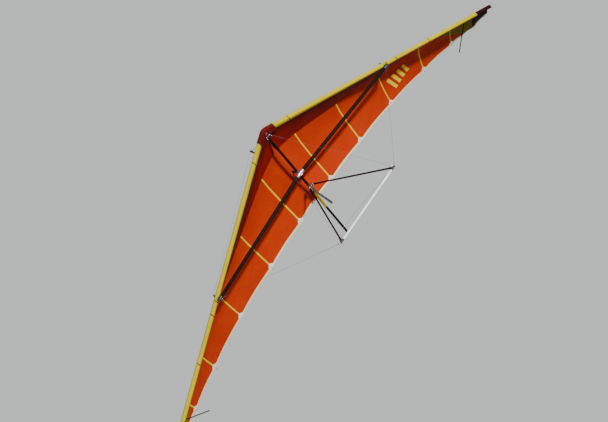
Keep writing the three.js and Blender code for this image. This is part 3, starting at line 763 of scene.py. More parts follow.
# Batten pockets: tape with the batten's hump along its middle, then the batten's tail, plug and cord
pocket = {
    "offsets": (-13, -11, -9.5, -8, -5.5, -2.5, 0, 2.5, 5.5, 8, 9.5, 11, 13), "hump": 7.5, "humpHalf": 9.6,
    "front": 14, "cut": 8, "gap": 0.3, "thickness": 0.9, "below": 9.0,
    "rod": 5.2, "tail": 36, "plug": 18, "cord": 1.3, "cordLong": 34, "cordHalf": 8.5,
}


def humpAt(offset, half, height):  # the round back of a batten below the cloth
    return height * math.sqrt(max(0.0, 1 - (offset / half) ** 2))


def pocketSpot(side, station, offset, share):
    first, last = seamY(station) + pocket["front"], edgeAt(station)[0] - pocket["cut"]
    x, y = station + offset, mix(first, last, share)
    hump = humpAt(offset, pocket["humpHalf"], pocket["hump"]) * clamp(share / 0.02, 0.25)
    z = skinLevel(x, y) - sail["thickness"] - pocket["gap"] - hump
    return Vector((side * x, y, z)), (offset, y - first)


def battenEnd(bm, side, station):  # the batten's tail, its plug and the cord at the trailing edge
    edgeY, tail = edgeAt(station)[0], pocket["tail"]
    edge, ahead = [Vector((side * station, y, skinHeight(station, y))) for y in (edgeY, edgeY - 60)]
    slope = (edge - ahead).normalized()
    base = edge - Vector((0, 0, pocket["below"]))
    rodOf(bm, base - slope * 60, base + slope * (tail - pocket["plug"] + 2), pocket["rod"], 20, 0.8, 1)
    rodOf(bm, base + slope * (tail - pocket["plug"]), base + slope * tail, pocket["rod"] + 1.6, 20, 2.0, 2)
    for sideways in (side, -side):
        cord = []
        for share in shares(10):
            bow = sideways * pocket["cordHalf"] * math.sin(math.pi * min(1, share * 1.6))
            cord.append(base + slope * (tail - pocket["plug"] / 2 - pocket["cordLong"] * share)
                        + Vector((bow, 0, 2.5)))
        tubeThrough(bm, cord, pocket["cord"], 8, 3)


for name, side in halves:
    for number, station in enumerate(wing["battenStations"], 1):
        bm = bmesh.new()
        sheetGrid(bm, pocket["offsets"], shares(60),
                  lambda offset, share: pocketSpot(side, station, offset, share))
        thicken(bm, pocket["thickness"])
        battenEnd(bm, side, station)
        plug = plugWhite if number % 2 else fittingBlack
        addPiece(f"battenPocket_{name}_{number}", bm, [pocketYellow, tubeBare, plug, braid],
                 replaces=[f"batten_{name}_{number}"], smooth=50)

# Three-cornered patches where the battens meet the trailing edge, above the sail and below the pockets
patch = {
    "wide": 92, "deep": 138, "taper": 0.97, "hump": 9.5, "humpHalf": 14, "above": 0.9, "below": 1.1,
    "thickness": 0.6,
}


def patchAt(station, isBelow):
    def patchSpot(side, across, share):
        offset = across * patch["wide"] * (1 - share * patch["taper"])
        x = station + offset
        y = edgeAt(x)[0] - 1 - patch["deep"] * share
        rise = patch["above"]
        if isBelow:
            rise = -sail["thickness"] - patch["below"] - humpAt(offset, patch["humpHalf"], patch["hump"])
        return Vector((side * x, y, skinLevel(x, y) + rise)), (offset, share * patch["deep"])
    return patchSpot


patchGrids = [(bothWays(20), shares(12), patchAt(station, isBelow))
              for station in wing["battenStations"] for isBelow in (True, False)]
patches = onBothHalves("battenPatches", patchGrids, patch["thickness"], [patchWhite],
                       smooth=50)

# Plain slanted bars sewn on below the port half
bars = {
    "count": 4, "from": 2470, "step": 124, "wide": 66, "front": 2170, "frontStep": 22, "back": 2570,
    "backStep": 14, "slant": 0.31, "gap": 0.7, "thickness": 0.5,
}


def barSpot(number, across, share):
    front, back = bars["front"] + bars["frontStep"] * number, bars["back"] - bars["backStep"] * number
    y = mix(front, back, share)
    x = bars["from"] + bars["step"] * number + bars["wide"] * across + (y - bars["front"]) * bars["slant"]
    return Vector((x, y, skinLevel(x, y) - sail["thickness"] - bars["gap"])), (across * 60, y)


bm = bmesh.new()
for number in range(bars["count"]):
    sheetGrid(bm, shares(6), shares(16), lambda across, share: barSpot(number, across, share))
thicken(bm, bars["thickness"])
addPiece("underBars_port", bm, [pocketYellow], smooth=50)

# The middle seam: a doubled tape over the root of both halves, above and below
middle = {"half": 24, "front": 196, "gap": 0.9, "thickness": 0.8}


def middleSpot(x, share, gap):
    y = mix(middle["front"], edgeAt(0.3)[0] - 2, share)
    return Vector((x, y, skinLevel(max(abs(x), 0.3), y) + gap)), (x, y)


bm = bmesh.new()
for gap in (middle["gap"], -sail["thickness"] - middle["gap"]):
    sheetGrid(bm, [middle["half"] * part for part in bothWays(6)], shares(70),
              lambda x, share: middleSpot(x, share, gap))
thicken(bm, middle["thickness"])
middleTape = addPiece("middleTape", bm, [sailRed], smooth=50)
print("stage: battens, patches and tapes sewn on")

# Keel pocket: the fin of cloth that holds the sail's middle down to the keel, with a bright band below
fin = {
    "front": 1900, "sailEnd": 2189, "back": 2410, "backZ": 26, "drop": 5.0, "clear": 2.4, "wrap": 2.55,
    "bandTop": -11, "thickness": 0.9,
}


def finTop(y):  # below the sail's root, and behind it on a slope down to the keel
    top = skinHeight(0.3, min(y, fin["sailEnd"])) - fin["drop"]
    if y < fin["sailEnd"]:
        return top
    return mix(top, fin["backZ"], ((y - fin["sailEnd"]) / (fin["back"] - fin["sailEnd"])) ** 1.2)


def finSpot(turn, share):  # turn runs from the fin's top on one face, round the keel and up the other
    y = mix(fin["front"], fin["back"], share)
    radius = wing["keelRadius"] + fin["clear"]
    beside = abs(turn) > 0.5
    if beside:
        rise = (abs(turn) - 0.5) / 0.5
        start = Vector((math.sin(fin["wrap"]) * radius, -math.cos(fin["wrap"]) * radius))
        x = math.copysign(mix(start.x, 1.6, rise ** 0.6), turn)
        z = mix(start.y, max(finTop(y), start.y + 2), rise)
    else:
        angle = turn / 0.5 * fin["wrap"]
        x, z = math.sin(angle) * radius, -math.cos(angle) * radius
    wrinkle = 0.8 * math.sin(y / 23 + turn * 3) * (1 if beside else 0.3)
    return Vector((x + wrinkle, y, z)), (turn * 150, y)


bm = bmesh.new()
sheetGrid(bm, bothWays(40), shares(34), finSpot)
for face in bm.faces:
    face.material_index = 1 if face.calc_center_median().z < fin["bandTop"] else 0
thicken(bm, fin["thickness"])
keelPocket = addPiece("keelPocket", bm, [sailRed, stripYellow], replaces=["keel_pocket"],
                      smooth=50)

# Nose cover: a cloth cap drawn over the front of both leading edges, bound in black
cover = {
    "half": 180, "rounding": 25, "radius": 41.6, "under": 85, "over": 115, "topTurn": -230, "sideCurve": 8,
    "thickness": 1.4, "hem": 3.0,
}


def coverSpot(x, share):  # share runs from the hem below, round the front to the hem above
    reach = math.hypot(x, cover["rounding"])
    centreY = reach * cotNose
    stretch = math.hypot(1, abs(x) / reach * cotNose)
    radius = cover["radius"]
    if share < 0.25:
        y = centreY + cover["under"] * (1 - share / 0.25)
        z = -radius + 1.4 * (1 - share / 0.25)
    elif share < 0.65:
        waves = math.sin(x / 19 + share * 5) * math.sin(math.pi * share)
        radius += 1.6 * waves * clamp(1.2 - abs(x) / cover["half"])
        angle = math.radians(mix(-90, cover["topTurn"], (share - 0.25) / 0.4))
        y, z = centreY + radius * stretch * math.cos(angle), radius * math.sin(angle)
    else:
        part = (share - 0.65) / 0.35
        angle = math.radians(cover["topTurn"])
        awayX, backY = max(abs(x), 1), centreY + cover["over"]
        y = mix(centreY + radius * stretch * math.cos(angle), backY, part)
        z = mix(radius * math.sin(angle), skinHeight(awayX, backY) + 5.4, part)
        level = skinHeight(awayX, y)
        if level > 60:
            z += 5 * math.sin(math.pi * part)
        if part > 0.25:
            z = max(z, level + 5.0)
    x += math.copysign(cover["sideCurve"], x) * (abs(x) / cover["half"]) ** 3 * math.sin(math.pi * share)
    return Vector((x, y, z)), (x, share * 330)


bm = bmesh.new()
coverColumns, coverRows = stations(-cover["half"], cover["half"], 16, (0,)), shares(56)
sheetGrid(bm, coverColumns, coverRows, coverSpot)
thicken(bm, cover["thickness"])
noseCover = addPiece("noseCover", bm, [coverRed], replaces=["nose_cover"], smooth=60)

bm = bmesh.new()
rim = [(column, 0.0) for column in coverColumns] + [(cover["half"], row) for row in coverRows[1:]]
rim += [(column, 1.0) for column in reversed(coverColumns[:-1])]
rim += [(-cover["half"], row) for row in reversed(coverRows[1:-1])]
tubeThrough(bm, [coverSpot(x, share)[0] for x, share in rim], cover["hem"], 8, 0, closed=True)
noseBinding = addPiece("noseCoverBinding", bm, [bindingDark], smooth=60)

# Nose button: the bright bolt and ring in the middle of the cover's underside
button = {"top": Vector((0, 52, -42)), "face": Vector((0, 52, -46)), "radius": 21, "ring": 17, "bolt": 7}
bm = bmesh.new()
rodOf(bm, button["top"], button["face"], button["radius"], 32, 0.8)
ringOf(bm, button["face"], Vector((0, 0, 1)), button["ring"], 2.4)
boltOf(bm, button["face"], (0, 0, -1), button["bolt"])
addPiece("noseButton", bm, [steel])


def dressedCopy(names, pieceName, finishes, bevel=1.0, angle=25, extra=None):
    # A CAD node's own shape, merged and with its edges rounded
    bm = bmesh.new()
    for node in names:
        bm.from_mesh(frame["nodes"][node].data)
    bmesh.ops.remove_doubles(bm, verts=bm.verts, dist=0.00002)
    bmesh.ops.dissolve_limit(bm, angle_limit=math.radians(0.5), verts=bm.verts, edges=bm.edges)
    sharp = [edge for edge in bm.edges
             if len(edge.link_faces) == 2 and edge.calc_face_angle(0) > math.radians(angle)]
    bmesh.ops.bevel(bm, geom=sharp, offset=bevel / 1000, offset_type="OFFSET", affect="EDGES", segments=2,
                    profile=0.5, material=-1, clamp_overlap=True)
    bmesh.ops.dissolve_degenerate(bm, dist=0.00005, edges=bm.edges)
    bmesh.ops.triangulate(bm, faces=bm.faces)
    bmesh.ops.dissolve_degenerate(bm, dist=0.00002, edges=bm.edges)
    for face in bm.faces:
        face.material_index = 0
    bmesh.ops.transform(bm, matrix=gliderToRow.inverted(), verts=bm.verts)
    if extra:
        extra(bm)
    return addPiece(pieceName, bm, finishes, replaces=names)


nosePlate = {
    "boltSpots": ((-96, 60), (96, 60), (-46, 110), (46, 110), (0, 60), (0, 120)), "face": 30.6, "bolt": 4,
}


def noseBolts(bm):
    for x, y in nosePlate["boltSpots"]:
        for way in (1, -1):
            boltOf(bm, (x, y, way * nosePlate["face"]), (0, 0, way), nosePlate["bolt"], finish=1)


dressedCopy(["nose_plates"], "nosePlates", [alloy, steel], 0.7, extra=noseBolts)


# Tubes: each rod is given as from, to, radius, sides, bevel and finish
def rodsOf(bm, rods, spotAt):
    for first, last, radius, sides, bevel, finish in rods.values():
        rodOf(bm, spotAt(first), spotAt(last), radius, sides, bevel, finish)


edgeRods = {
    "tube": (wing["leadingEdgeStart"], wing["leadingEdgeLength"] - 8, wing["leadingEdgeRadius"], 48, 0.6, 0),
    "tipPlug": (wing["leadingEdgeLength"] - 40, wing["leadingEdgeLength"], 27.5, 48, 3.0, 1),
    "sleeve": (1700, 1790, 27.2, 48, 0.5, 0),
}
for name, side in halves:
    bm = bmesh.new()
    rodsOf(bm, edgeRods, lambda along: onLeadingEdge(along, side))
    addPiece(f"leadingEdgeTube_{name}", bm, [tubeBlack, fittingBlack],
             replaces=[f"leading_edge_{name}"])

keelRods = {
    "tube": (28.3, wing["keelLength"] - 12, wing["keelRadius"], 48, 0.6, 0),
    "sleeve": (900, 1880, 22.0, 48, 0.6, 0),
    "rearStop": (3150, 3164, 23.4, 48, 1.2, 1),
    "pocketStop": (2447, 2461, 22.6, 48, 0.8, 1),
    "frontStop": (560, 574, 22.6, 48, 0.8, 1),
}
bm = bmesh.new()
rodsOf(bm, keelRods, lambda y: (0, y, 0))
addPiece("keelTube", bm, [tubeBlack, fittingBlack], replaces=["keel"])

keelEnd = {"from": 3350, "radius": 23, "ribs": (3358, 3366, 3374), "ribRadius": 21.9}
bm = bmesh.new()
rodOf(bm, (0, keelEnd["from"], 0), (0, wing["keelLength"], 0), keelEnd["radius"], 48, 3.5)
for y in keelEnd["ribs"]:
    ringOf(bm, Vector((0, y, 0)), Vector((0, 1, 0)), keelEnd["ribRadius"], 1.0, 40)
addPiece("keelEndCap", bm, [fittingBlack], replaces=["keel_end_cap"])

crossbar = {
    "start": 12, "past": 20, "sleeveHalf": 60, "sleeveRadius": 30.9, "boltZ": 33.6, "tangZ": 78,
    "tangHalf": 3.2,
}
crossbarCentre = Vector((0, wing["crossbarY"], wing["crossbarZ"]))
for name, side in halves:
    outer = onLeadingEdge(wing["junctionAlong"], side, wing["crossbarZ"])
    way = (outer - crossbarCentre).normalized()
    span = (outer - crossbarCentre).length
    crossbarRods = {
        "tube": (crossbar["start"], span + crossbar["past"], wing["crossbarRadius"], 48, 0.8, 0),
        "sleeve": (span * 0.5 - crossbar["sleeveHalf"], span * 0.5 + crossbar["sleeveHalf"],
                   crossbar["sleeveRadius"], 48, 0.5, 0),
    }
    bm = bmesh.new()
    rodsOf(bm, crossbarRods, lambda along: crossbarCentre + way * along)
    addPiece(f"crossbarTube_{name}", bm, [tubeBlack], replaces=[f"crossbar_{name}"])

    def junctionBolts(bm):
        for along in (span - 35, span - 5):
            for z in (-1, 1):
                spot = crossbarCentre + way * along + Vector((0, 0, z * crossbar["boltZ"]))
                boltOf(bm, spot, (0, 0, z), 4, finish=1)
        spot = onLeadingEdge(wing["junctionAlong"], side, crossbar["tangZ"])
        across = Vector((math.cos(wing["noseHalfAngle"]) * side, -math.sin(wing["noseHalfAngle"]), 0))
        boltOf(bm, spot + across * crossbar["tangHalf"], across, 3.5, 10, 1)
        boltOf(bm, spot - across * crossbar["tangHalf"], -across, 3.5, 0, 1)
    dressedCopy([f"crossbar_bracket_{name}"], f"crossbarBracket_{name}", [fittingBlack, steel],
                1.0, extra=junctionBolts)


def hingeBolts(bm):
    for side in (1, -1):
        way = (onLeadingEdge(wing["junctionAlong"], side, wing["crossbarZ"]) - crossbarCentre).normalized()
        for along in (30, 58):
            spot = crossbarCentre + way * along - Vector((0, 0, crossbar["boltZ"]))
            boltOf(bm, spot, (0, 0, -1), 4, finish=1)
    for sign in (1, -1):
        boltOf(bm, (0, wing["crossbarY"] + sign * 26, -40), (0, sign, 0), 5, finish=1)


dressedCopy(["crossbar_hinge"], "crossbarHinge", [alloy, steel], 1.0, extra=hingeBolts)

# Kingpost with its foot and cap
kingY, kingTop = wing["kingpostY"], wing["kingpostTop"]
king = {
    "foot": 35.3, "cap": 60, "capRadius": 17, "groove": 52, "boltX": 17.2, "boltDown": 30, "footBoltX": 18.2,
    "footBoltZ": 55, "baseBolts": (12, 24),
}
bm = bmesh.new()
rodOf(bm, (0, kingY, king["foot"]), (0, kingY, kingTop - 20), wing["kingpostRadius"], 32, 0.5)
addPiece("kingpostTube", bm, [tubeBlack], replaces=["kingpost"])
bm = bmesh.new()
rodOf(bm, (0, kingY, kingTop - king["cap"]), (0, kingY, kingTop), king["capRadius"], 40, 2.5)
ringOf(bm, Vector((0, kingY, kingTop - king["groove"])), Vector((0, 0, 1)), king["capRadius"] - 0.2, 1.4, 32)
for sign in (1, -1):
    boltOf(bm, (sign * king["boltX"], kingY, kingTop - king["boltDown"]), (sign, 0, 0), 3.5, finish=1)
addPiece("kingpostCap", bm, [fittingBlack, steel], replaces=["kingpost_cap"])


def footBolts(bm):
    baseX, baseY = king["baseBolts"]
    for x in (-1, 1):
        boltOf(bm, (x * king["footBoltX"], kingY, king["footBoltZ"]), (x, 0, 0), 4, finish=1)
        for y in (-baseY, baseY):
            boltOf(bm, (x * baseX, kingY + y, king["foot"] - 0.1), (0, 0, 1), 3, finish=1)


dressedCopy(["kingpost_foot"], "kingpostFoot", [alloy, steel], 0.8, extra=footBolts)

# Control frame, in its own plane that rakes forward from the apex
drop = math.hypot(wing["apexY"] - wing["baseBarY"], wing["baseBarZ"])
rake = math.atan2(wing["apexY"] - wing["baseBarY"], -wing["baseBarZ"])
framePlace = Matrix.Translation((0, wing["apexY"], 0)) @ Matrix.Rotation(-rake, 4, "X")
frameAcross = (framePlace.to_3x3() @ Vector((0, 1, 0))).normalized()


def inFrame(x, y, z):
    return framePlace @ Vector((x, y, z))


baseRods = {
    "innerGrip": (4, 330, 16.6, 40, 1.2, 0),
    "outerGrip": (336, 640, 16.6, 40, 1.2, 0),
    "endPlug": (wing["baseBarHalf"] - 12, wing["baseBarHalf"], 14.9, 40, 3.0, 1),
}
bm = bmesh.new()
barEnd = wing["baseBarHalf"] - 8
rodOf(bm, inFrame(-barEnd, 0, -drop), inFrame(barEnd, 0, -drop), wing["frameTubeRadius"], 48, 0.6)
for side in (-1, 1):
    rodsOf(bm, baseRods, lambda along: inFrame(side * along, 0, -drop))
addPiece("baseBar", bm, [barWhite, plugWhite], replaces=["base_bar"])

downtube = {"topX": 28, "topZ": -60, "start": 22.3, "sleeve": 70, "sleeveRadius": 14.9}
corners = {"upBolt": 62, "outBolt": 32, "inBolt": 30, "boltOut": 17.6, "upRing": 84, "barRings": (-44, 44)}
for name, side in halves:
    corner = Vector((side * wing["cornerX"], 0, -drop))
    top = Vector((side * downtube["topX"], 0, downtube["topZ"]))
    way = (top - corner).normalized()
    bm = bmesh.new()
    first, sleeve = corner + way * downtube["start"], top - way * downtube["sleeve"]
    rodOf(bm, framePlace @ first, framePlace @ top, wing["frameTubeRadius"], 40, 0.5)
    rodOf(bm, framePlace @ sleeve, framePlace @ (top - way), downtube["sleeveRadius"], 40, 0.5, 1)
    addPiece(f"downtubePost_{name}", bm, [tubeBlack, alloy], replaces=[f"downtube_{name}"])

    def cornerBolts(bm):
        upper = 1 if (gliderToRow.to_3x3() @ frameAcross).z > 0 else -1
        outward = Vector((side, 0, 0))
        spots = (
            (corner + way * corners["upBolt"], (-1, 1)),
            (corner + outward * corners["outBolt"], (upper,)),
            (corner - outward * corners["inBolt"], (upper,)),
        )
        for spot, signs in spots:
            for sign in signs:
                out = frameAcross * sign
                boltOf(bm, framePlace @ spot + out * corners["boltOut"], out, 3.4, finish=1)
        ringOf(bm, framePlace @ (corner + way * corners["upRing"]), framePlace.to_3x3() @ way, 17.2, 1.6, 32)
        for along in corners["barRings"]:
            ringOf(bm, framePlace @ (corner + Vector((along, 0, 0))), Vector((1, 0, 0)), 16.4, 1.4, 32)
    dressedCopy([f"corner_fitting_{name}"], f"cornerFitting_{name}", [fittingBlack, steel],
                1.2, 50, extra=cornerBolts)

apex = {
    "bolts": ((-52, -96), (-30, -66), (30, -66), (52, -96)), "boltOut": 18.6, "keelBoltX": 30.2,
    "keelBoltZ": -33,
}


def apexBolts(bm):
    for x, z in apex["bolts"]:
        for out in (-frameAcross, frameAcross):
            boltOf(bm, inFrame(x, 0, z) + out * apex["boltOut"], out, 4, finish=1)
    for x in (-1, 1):
        boltOf(bm, (x * apex["keelBoltX"], wing["apexY"], apex["keelBoltZ"]), (x, 0, 0), 4, finish=1)


dressedCopy(["apex_bracket"], "apexBracket", [alloy, steel], 0.8, extra=apexBolts)


def pinEnds(bm):
    for x in (-1, 1):
        boltOf(bm, (x * 28.2, wing["hangPinY"], wing["hangPinZ"]), (x, 0, 0), 4.6, finish=1)


dressedCopy(["hang_bracket"], "hangBracket", [alloy, steel], 0.7, extra=pinEnds)
print("stage: tubes and brackets fitted")

# Hang strap: one loop of webbing on the pin, stitched flat between its two eyes
hang = {
    "half": 19, "long": 380, "inner": 7.4, "thickness": 2.6, "pinch": 1.6, "lowerEye": 62,
    "threadRows": (-62, -92, -150, -222, -292, -308), "threads": 10, "threadStep": 3.2, "threadOut": 4.4,
}
pinRow = Vector(frame["joints"][0]["pos_m"]) * 1000


def strapSpot(share, across):
    radius, straight = hang["inner"], hang["long"]
    arc = math.pi * radius
    run = share * (2 * arc + 2 * straight)
    if run < arc:
        y, z = radius * math.cos(run / radius), radius * math.sin(run / radius)
    elif run < arc + straight:
        y, z = -radius, arc - run
    elif run < 2 * arc + straight:
        angle = math.pi + (run - arc - straight) / radius
        y, z = radius * math.cos(angle), -straight + radius * math.sin(angle)
    else:
        y, z = radius, run - 2 * arc - 2 * straight
    if -straight <= z <= 0:
        ease = clamp(min(-z - 18, straight + z - hang["lowerEye"]) / 34)
        ease = ease * ease * (3 - 2 * ease)
        y = mix(y, math.copysign(hang["pinch"], y), ease)
        if z < -straight + hang["lowerEye"]:
            y *= 1 + 0.25 * math.sin(math.pi * (straight + z) / hang["lowerEye"])
    return Vector((across * hang["half"], y, z)) + pinRow, (across * hang["half"], run)


bm = bmesh.new()
sheetGrid(bm, shares(150), bothWays(8), strapSpot)
thicken(bm, -hang["thickness"], dist=0.05)
for z in hang["threadRows"]:  # rows of thread where the webbing is sewn to itself
    for y in (-hang["threadOut"], hang["threadOut"]):
        for i in range(hang["threads"]):
            x = i * hang["threadStep"] - 14.4
            rodOf(bm, pinRow + Vector((x, y, z)), pinRow + Vector((x + 2.2, y, z - 0.6)), 0.8, 6, 0, 1)
bmesh.ops.scale(bm, verts=bm.verts, vec=(0.001, 0.001, 0.001))
addPiece("hangStrap", bm, [strapBlack, strapThread], replaces=["hang_strap"], body="hang_strap",
         smooth=50, fromGlider=False)

# Wires: twisted cable with a thimble and a pressed sleeve at each end
rigging = {
    "radius": 1.6, "eye": 8.5, "eyeLong": 26, "eyePoints": 20, "thimble": 1.3, "thimbleIn": 2.4,
    "sleeveLong": 17, "sleeveRadius": 3.6, "pinAt": 5, "pinHalf": 5.5, "pinRadius": 2.6, "linkGap": 3.3,
}


def eyePath(tip, way, across, first, reach, half):  # a drop-shaped loop that narrows towards the sleeve
    path = []
    for i in range(rigging["eyePoints"]):
        turn = 2 * math.pi * i / rigging["eyePoints"]
        squeeze = (1 - math.cos(turn)) / 2
        wide = half * math.sin(turn) * (1 - 0.45 * squeeze)
        path.append(tip + way * (first + reach * squeeze) + across * wide)
    return path


def wireOf(name, node, start, end, across, heldAt=None):
    bm = bmesh.new()
    start, end = Vector(start), Vector(end)
    way = (end - start).normalized()
    across = (Vector(across) - way * Vector(across).dot(way)).normalized()
    normal = way.cross(across).normalized()
    reach, half, narrow = rigging["eyeLong"], rigging["eye"], rigging["eye"] - 2.6
    for tip, inward in ((start, way), (end, -way)):
        tubeThrough(bm, eyePath(tip, inward, across, 0, reach, half), rigging["radius"], 8, 0, closed=True)
        thimble = eyePath(tip, inward, across, rigging["thimbleIn"], reach - 8, narrow)
        tubeThrough(bm, thimble, rigging["thimble"], 8, 1, closed=True)
        sleeve = tip + inward * (reach - 1)
        rodOf(bm, sleeve, sleeve + inward * rigging["sleeveLong"], rigging["sleeveRadius"], 16, 0.8, 1)
        pin = tip + inward * rigging["pinAt"]
        rodOf(bm, pin - normal * rigging["pinHalf"], pin + normal * rigging["pinHalf"], rigging["pinRadius"],
              12, 0.5, 1)
    if heldAt:  # two links reach from the fitting to the eye, one on each side of it
        tip, inward = (start, way) if (start - heldAt).length < (end - heldAt).length else (end, -way)
        for beside in (-normal * rigging["linkGap"], normal * rigging["linkGap"]):
            tangOf(bm, heldAt + beside, tip + inward * rigging["pinAt"] + beside, normal, finish=1)
    rodOf(bm, start + way * reach, end - way * reach, rigging["radius"], 10)
    addPiece(name, bm, [cable, steel], replaces=[node])


def wireEnds(node):  # the two ends of a CAD wire, in the glider's frame
    inverse = gliderToRow.inverted()
    points = [inverse @ vert.co for vert in frame["nodes"][node].data.vertices]
    centre = sum(points, Vector()) / len(points)
    far = max(points, key=lambda p: (p - centre).length)
    way = (far - centre).normalized()
    low = [p for p in points if (p - centre).dot(way) < 0]
    high = [p for p in points if (p - centre).dot(way) >= 0]
    return sum(low, Vector()) / len(low), sum(high, Vector()) / len(high)


for node in sorted(node for node in frame["nodes"] if "wire" in node):
    start, end = wireEnds(node)
    across = Vector((0, 0, 1)) if "upper" in node else Vector((1, 0.2, 0))
    heldAt = None
    if "lower_side" in node:
        heldAt = inFrame((wing["cornerX"] + 38) * (1 if "port" in node else -1), 0, -drop)
    wireOf("wire_" + node.replace("_wire", ""), node, start, end, across, heldAt)

# Luff lines hold the trailing edge up from the kingpost
luff = {
    "stations": wing["battenStations"][:2], "ahead": 14, "headX": 12, "headY": 1340, "headZ": kingTop - 34,
    "sag": 5, "radius": 1.0,
}
for name, side in halves:
    bm = bmesh.new()
    head = Vector((side * luff["headX"], luff["headY"], luff["headZ"]))
    for station in luff["stations"]:
        footY = edgeAt(station)[0] - luff["ahead"]
        foot = Vector((side * station, footY, skinHeight(station, footY) + 1))
        sags = [(share, Vector((0, 0, luff["sag"] * math.sin(math.pi * share)))) for share in shares(24)]
        tubeThrough(bm, [mix(foot, head, share) - sag for share, sag in sags], luff["radius"], 8)
        ringOf(bm, foot, (head - foot).cross(Vector((1, 0, 0))), 5.0, 1.3, 20, 8, 1)
    addPiece(f"luffLines_{name}", bm, [braid, steel])

# Washout struts below the tips
strut = {
    "radius": 9, "tipX": 3965, "tipY": 3140, "tipZ": 70, "clampHalf": 22, "clampRadius": 30,
    "bolts": (-12, 12), "boltZ": 29.6,
}
for name, side in halves:
    root = onLeadingEdge(wing["strutAlong"], side)
    tip = Vector((side * strut["tipX"], strut["tipY"], strut["tipZ"]))
    way = (tip - root).normalized()
    edgeWay = onLeadingEdge(1, side).normalized()
    bm = bmesh.new()
    rodOf(bm, root + way * 20, tip - way * 8, strut["radius"], 28, 0.5)
    rodOf(bm, tip - way * 34, tip, strut["radius"] + 1.2, 28, 3.0, 1)
    rodOf(bm, root + way * 28, root + way * 70, strut["radius"] + 3.5, 28, 1.5, 1)
    half = edgeWay * strut["clampHalf"]
    rodOf(bm, root - half, root + half, strut["clampRadius"], 40, 1.5, 1)
    for along in strut["bolts"]:
        boltOf(bm, root + edgeWay * along - Vector((0, 0, strut["boltZ"])), (0, 0, -1), 3.4, finish=2)
    addPiece(f"tipStrut_{name}", bm, [tubeBlack, fittingBlack, steel],
             replaces=[f"tip_strut_{name}"])

# Rings and collars where the kingpost and the crossbar's brackets pass the cloth
collar = {"ring": 17, "outer": 46, "wide": 31.5, "thickness": 0.8, "gaps": (0.9, -4.0)}
kingZ = skinHeight(0.3, kingY)
bm = bmesh.new()
ringOf(bm, Vector((0, kingY, kingZ + 0.5)), Vector((0, 0.03, 1)), collar["ring"], 2.6, 40, 10)
for gap in collar["gaps"]:
    made = bmesh.ops.create_circle(bm, cap_ends=True, segments=40, radius=collar["outer"])["verts"]
    bmesh.ops.translate(bm, verts=made, vec=(0, kingY, kingZ + gap))
    faces = list({face for vert in made for face in vert.link_faces})
    band = bmesh.ops.inset_region(bm, faces=faces, thickness=collar["wide"])["faces"]
    bmesh.ops.delete(bm, geom=[face for face in faces if face.is_valid], context="FACES_ONLY")
    grown = bmesh.ops.extrude_face_region(bm, geom=band)["geom"]
    grownVerts = [element for element in grown if isinstance(element, bmesh.types.BMVert)]
    bmesh.ops.translate(bm, verts=grownVerts, vec=(0, 0, collar["thickness"]))
bmesh.ops.recalc_face_normals(bm, faces=bm.faces)
addPiece("kingpostCollar", bm, [bindingDark])
for name, side in halves:
    bm = bmesh.new()
    centre = onLeadingEdge(wing["junctionAlong"], side)
    level = skinHeight(abs(centre.x), centre.y)
    ringOf(bm, centre + Vector((0, 0, -37.2)), Vector((0, 0, 1)), 33, 2.6, 40, 8)
    ringOf(bm, centre + Vector((0, 0, level + 0.2)), Vector((0, -0.45, 1)), 19, 2.2, 36, 8)
    addPiece(f"bracketCollar_{name}", bm, [bindingDark])
print("stage: rigging done")

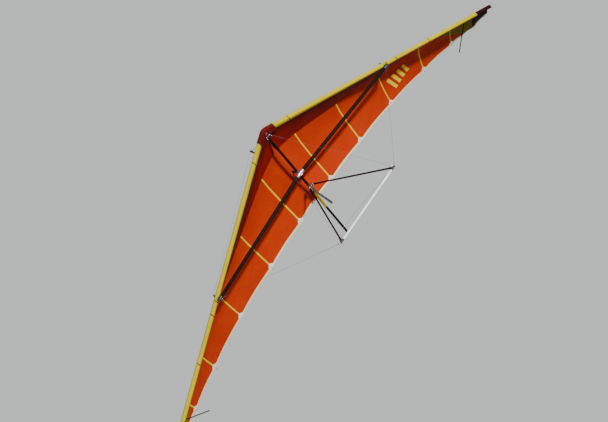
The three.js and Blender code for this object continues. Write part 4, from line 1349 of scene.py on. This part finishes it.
for name, side in halves:
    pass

# Floor, light and camera
studio = {
    "floorRadius": 6.8, "floorPale": (0.74, 0.75, 0.765), "bright": 0.68, "dim": 0.20, "spread": (0.50, 0.86),
}
bm = bmesh.new()
bmesh.ops.create_circle(bm, cap_ends=True, segments=128, radius=studio["floorRadius"])
mesh = bpy.data.meshes.new("studioFloor")
bm.to_mesh(mesh)
bm.free()
paper, tree, shader = startFinish("paper", 0.42, Specular_IOR_Level=0.6)
grain = ramp(tree, noise(tree, objectPlace(tree), 0.6, 3.0), 0.3, 0.7)
paperTone = blendColour(tree, grain, studio["floorPale"], dimmed(studio["floorPale"], 0.97))
tree.links.new(paperTone, shader.inputs["Base Color"])
mesh.materials.append(paper)
studioFloor = bpy.data.objects.new("studioFloor", mesh)
bpy.context.scene.collection.objects.link(studioFloor)

# The air is pale behind the glider, and dimmer round and in front of it, so the key light shapes the cloth
world = bpy.data.worlds.new("studioAir")
bpy.context.scene.world = world
world.use_nodes = True
tree = world.node_tree
direction = splitUp(tree, addNode(tree, "TexCoord").outputs["Generated"])
behind, below = direction[1], times(tree, direction[2], -1.0)
glow = calc(tree, "MAXIMUM", ramp(tree, behind, *studio["spread"], studio["dim"], studio["bright"]),
            ramp(tree, below, 0.0, 0.22, studio["dim"], studio["bright"]))
tree.nodes["Background"].inputs[0].default_value = (0.97, 0.985, 1.0, 1)
tree.links.new(glow, tree.nodes["Background"].inputs[1])

lights = {  # name: (azimuth from the nose towards port, elevation, strength, softness in degrees)
    "keyLight": (14, 2, 6.0, 4),
    "topLight": (150, 58, 0.75, 25),
}
for name, (azimuth, elevation, strength, softness) in lights.items():
    lamp = bpy.data.lights.new(name, "SUN")
    lamp.energy, lamp.angle = strength, math.radians(softness)
    a, e = math.radians(azimuth), math.radians(elevation)
    source = Vector((math.sin(a) * math.cos(e), -math.cos(a) * math.cos(e), math.sin(e)))
    lampObject = bpy.data.objects.new(name, lamp)
    lampObject.rotation_mode = "QUATERNION"
    lampObject.rotation_quaternion = source.to_track_quat("Z", "Y")
    lampObject.location = source * 30
    bpy.context.scene.collection.objects.link(lampObject)

view = {
    "place": (-3.431, -16.227, 0.0002), "aim": (-0.30531, 0.46464, 0.84699), "roll": -55.22, "lens": 58.83,
}
cameraData = bpy.data.cameras.new("photoCamera")
cameraData.lens = view["lens"]
cameraData.clip_end = 400
camera = bpy.data.objects.new("photoCamera", cameraData)
bpy.context.scene.collection.objects.link(camera)
camera.rotation_mode = "QUATERNION"
camera.location = view["place"]
aim = (Vector(view["aim"]) - Vector(view["place"])).normalized().to_track_quat("-Z", "Y")
camera.rotation_quaternion = aim @ Matrix.Rotation(math.radians(view["roll"]), 3, "Z").to_quaternion()
bpy.context.scene.camera = camera
print("stage: floor, light and camera set")
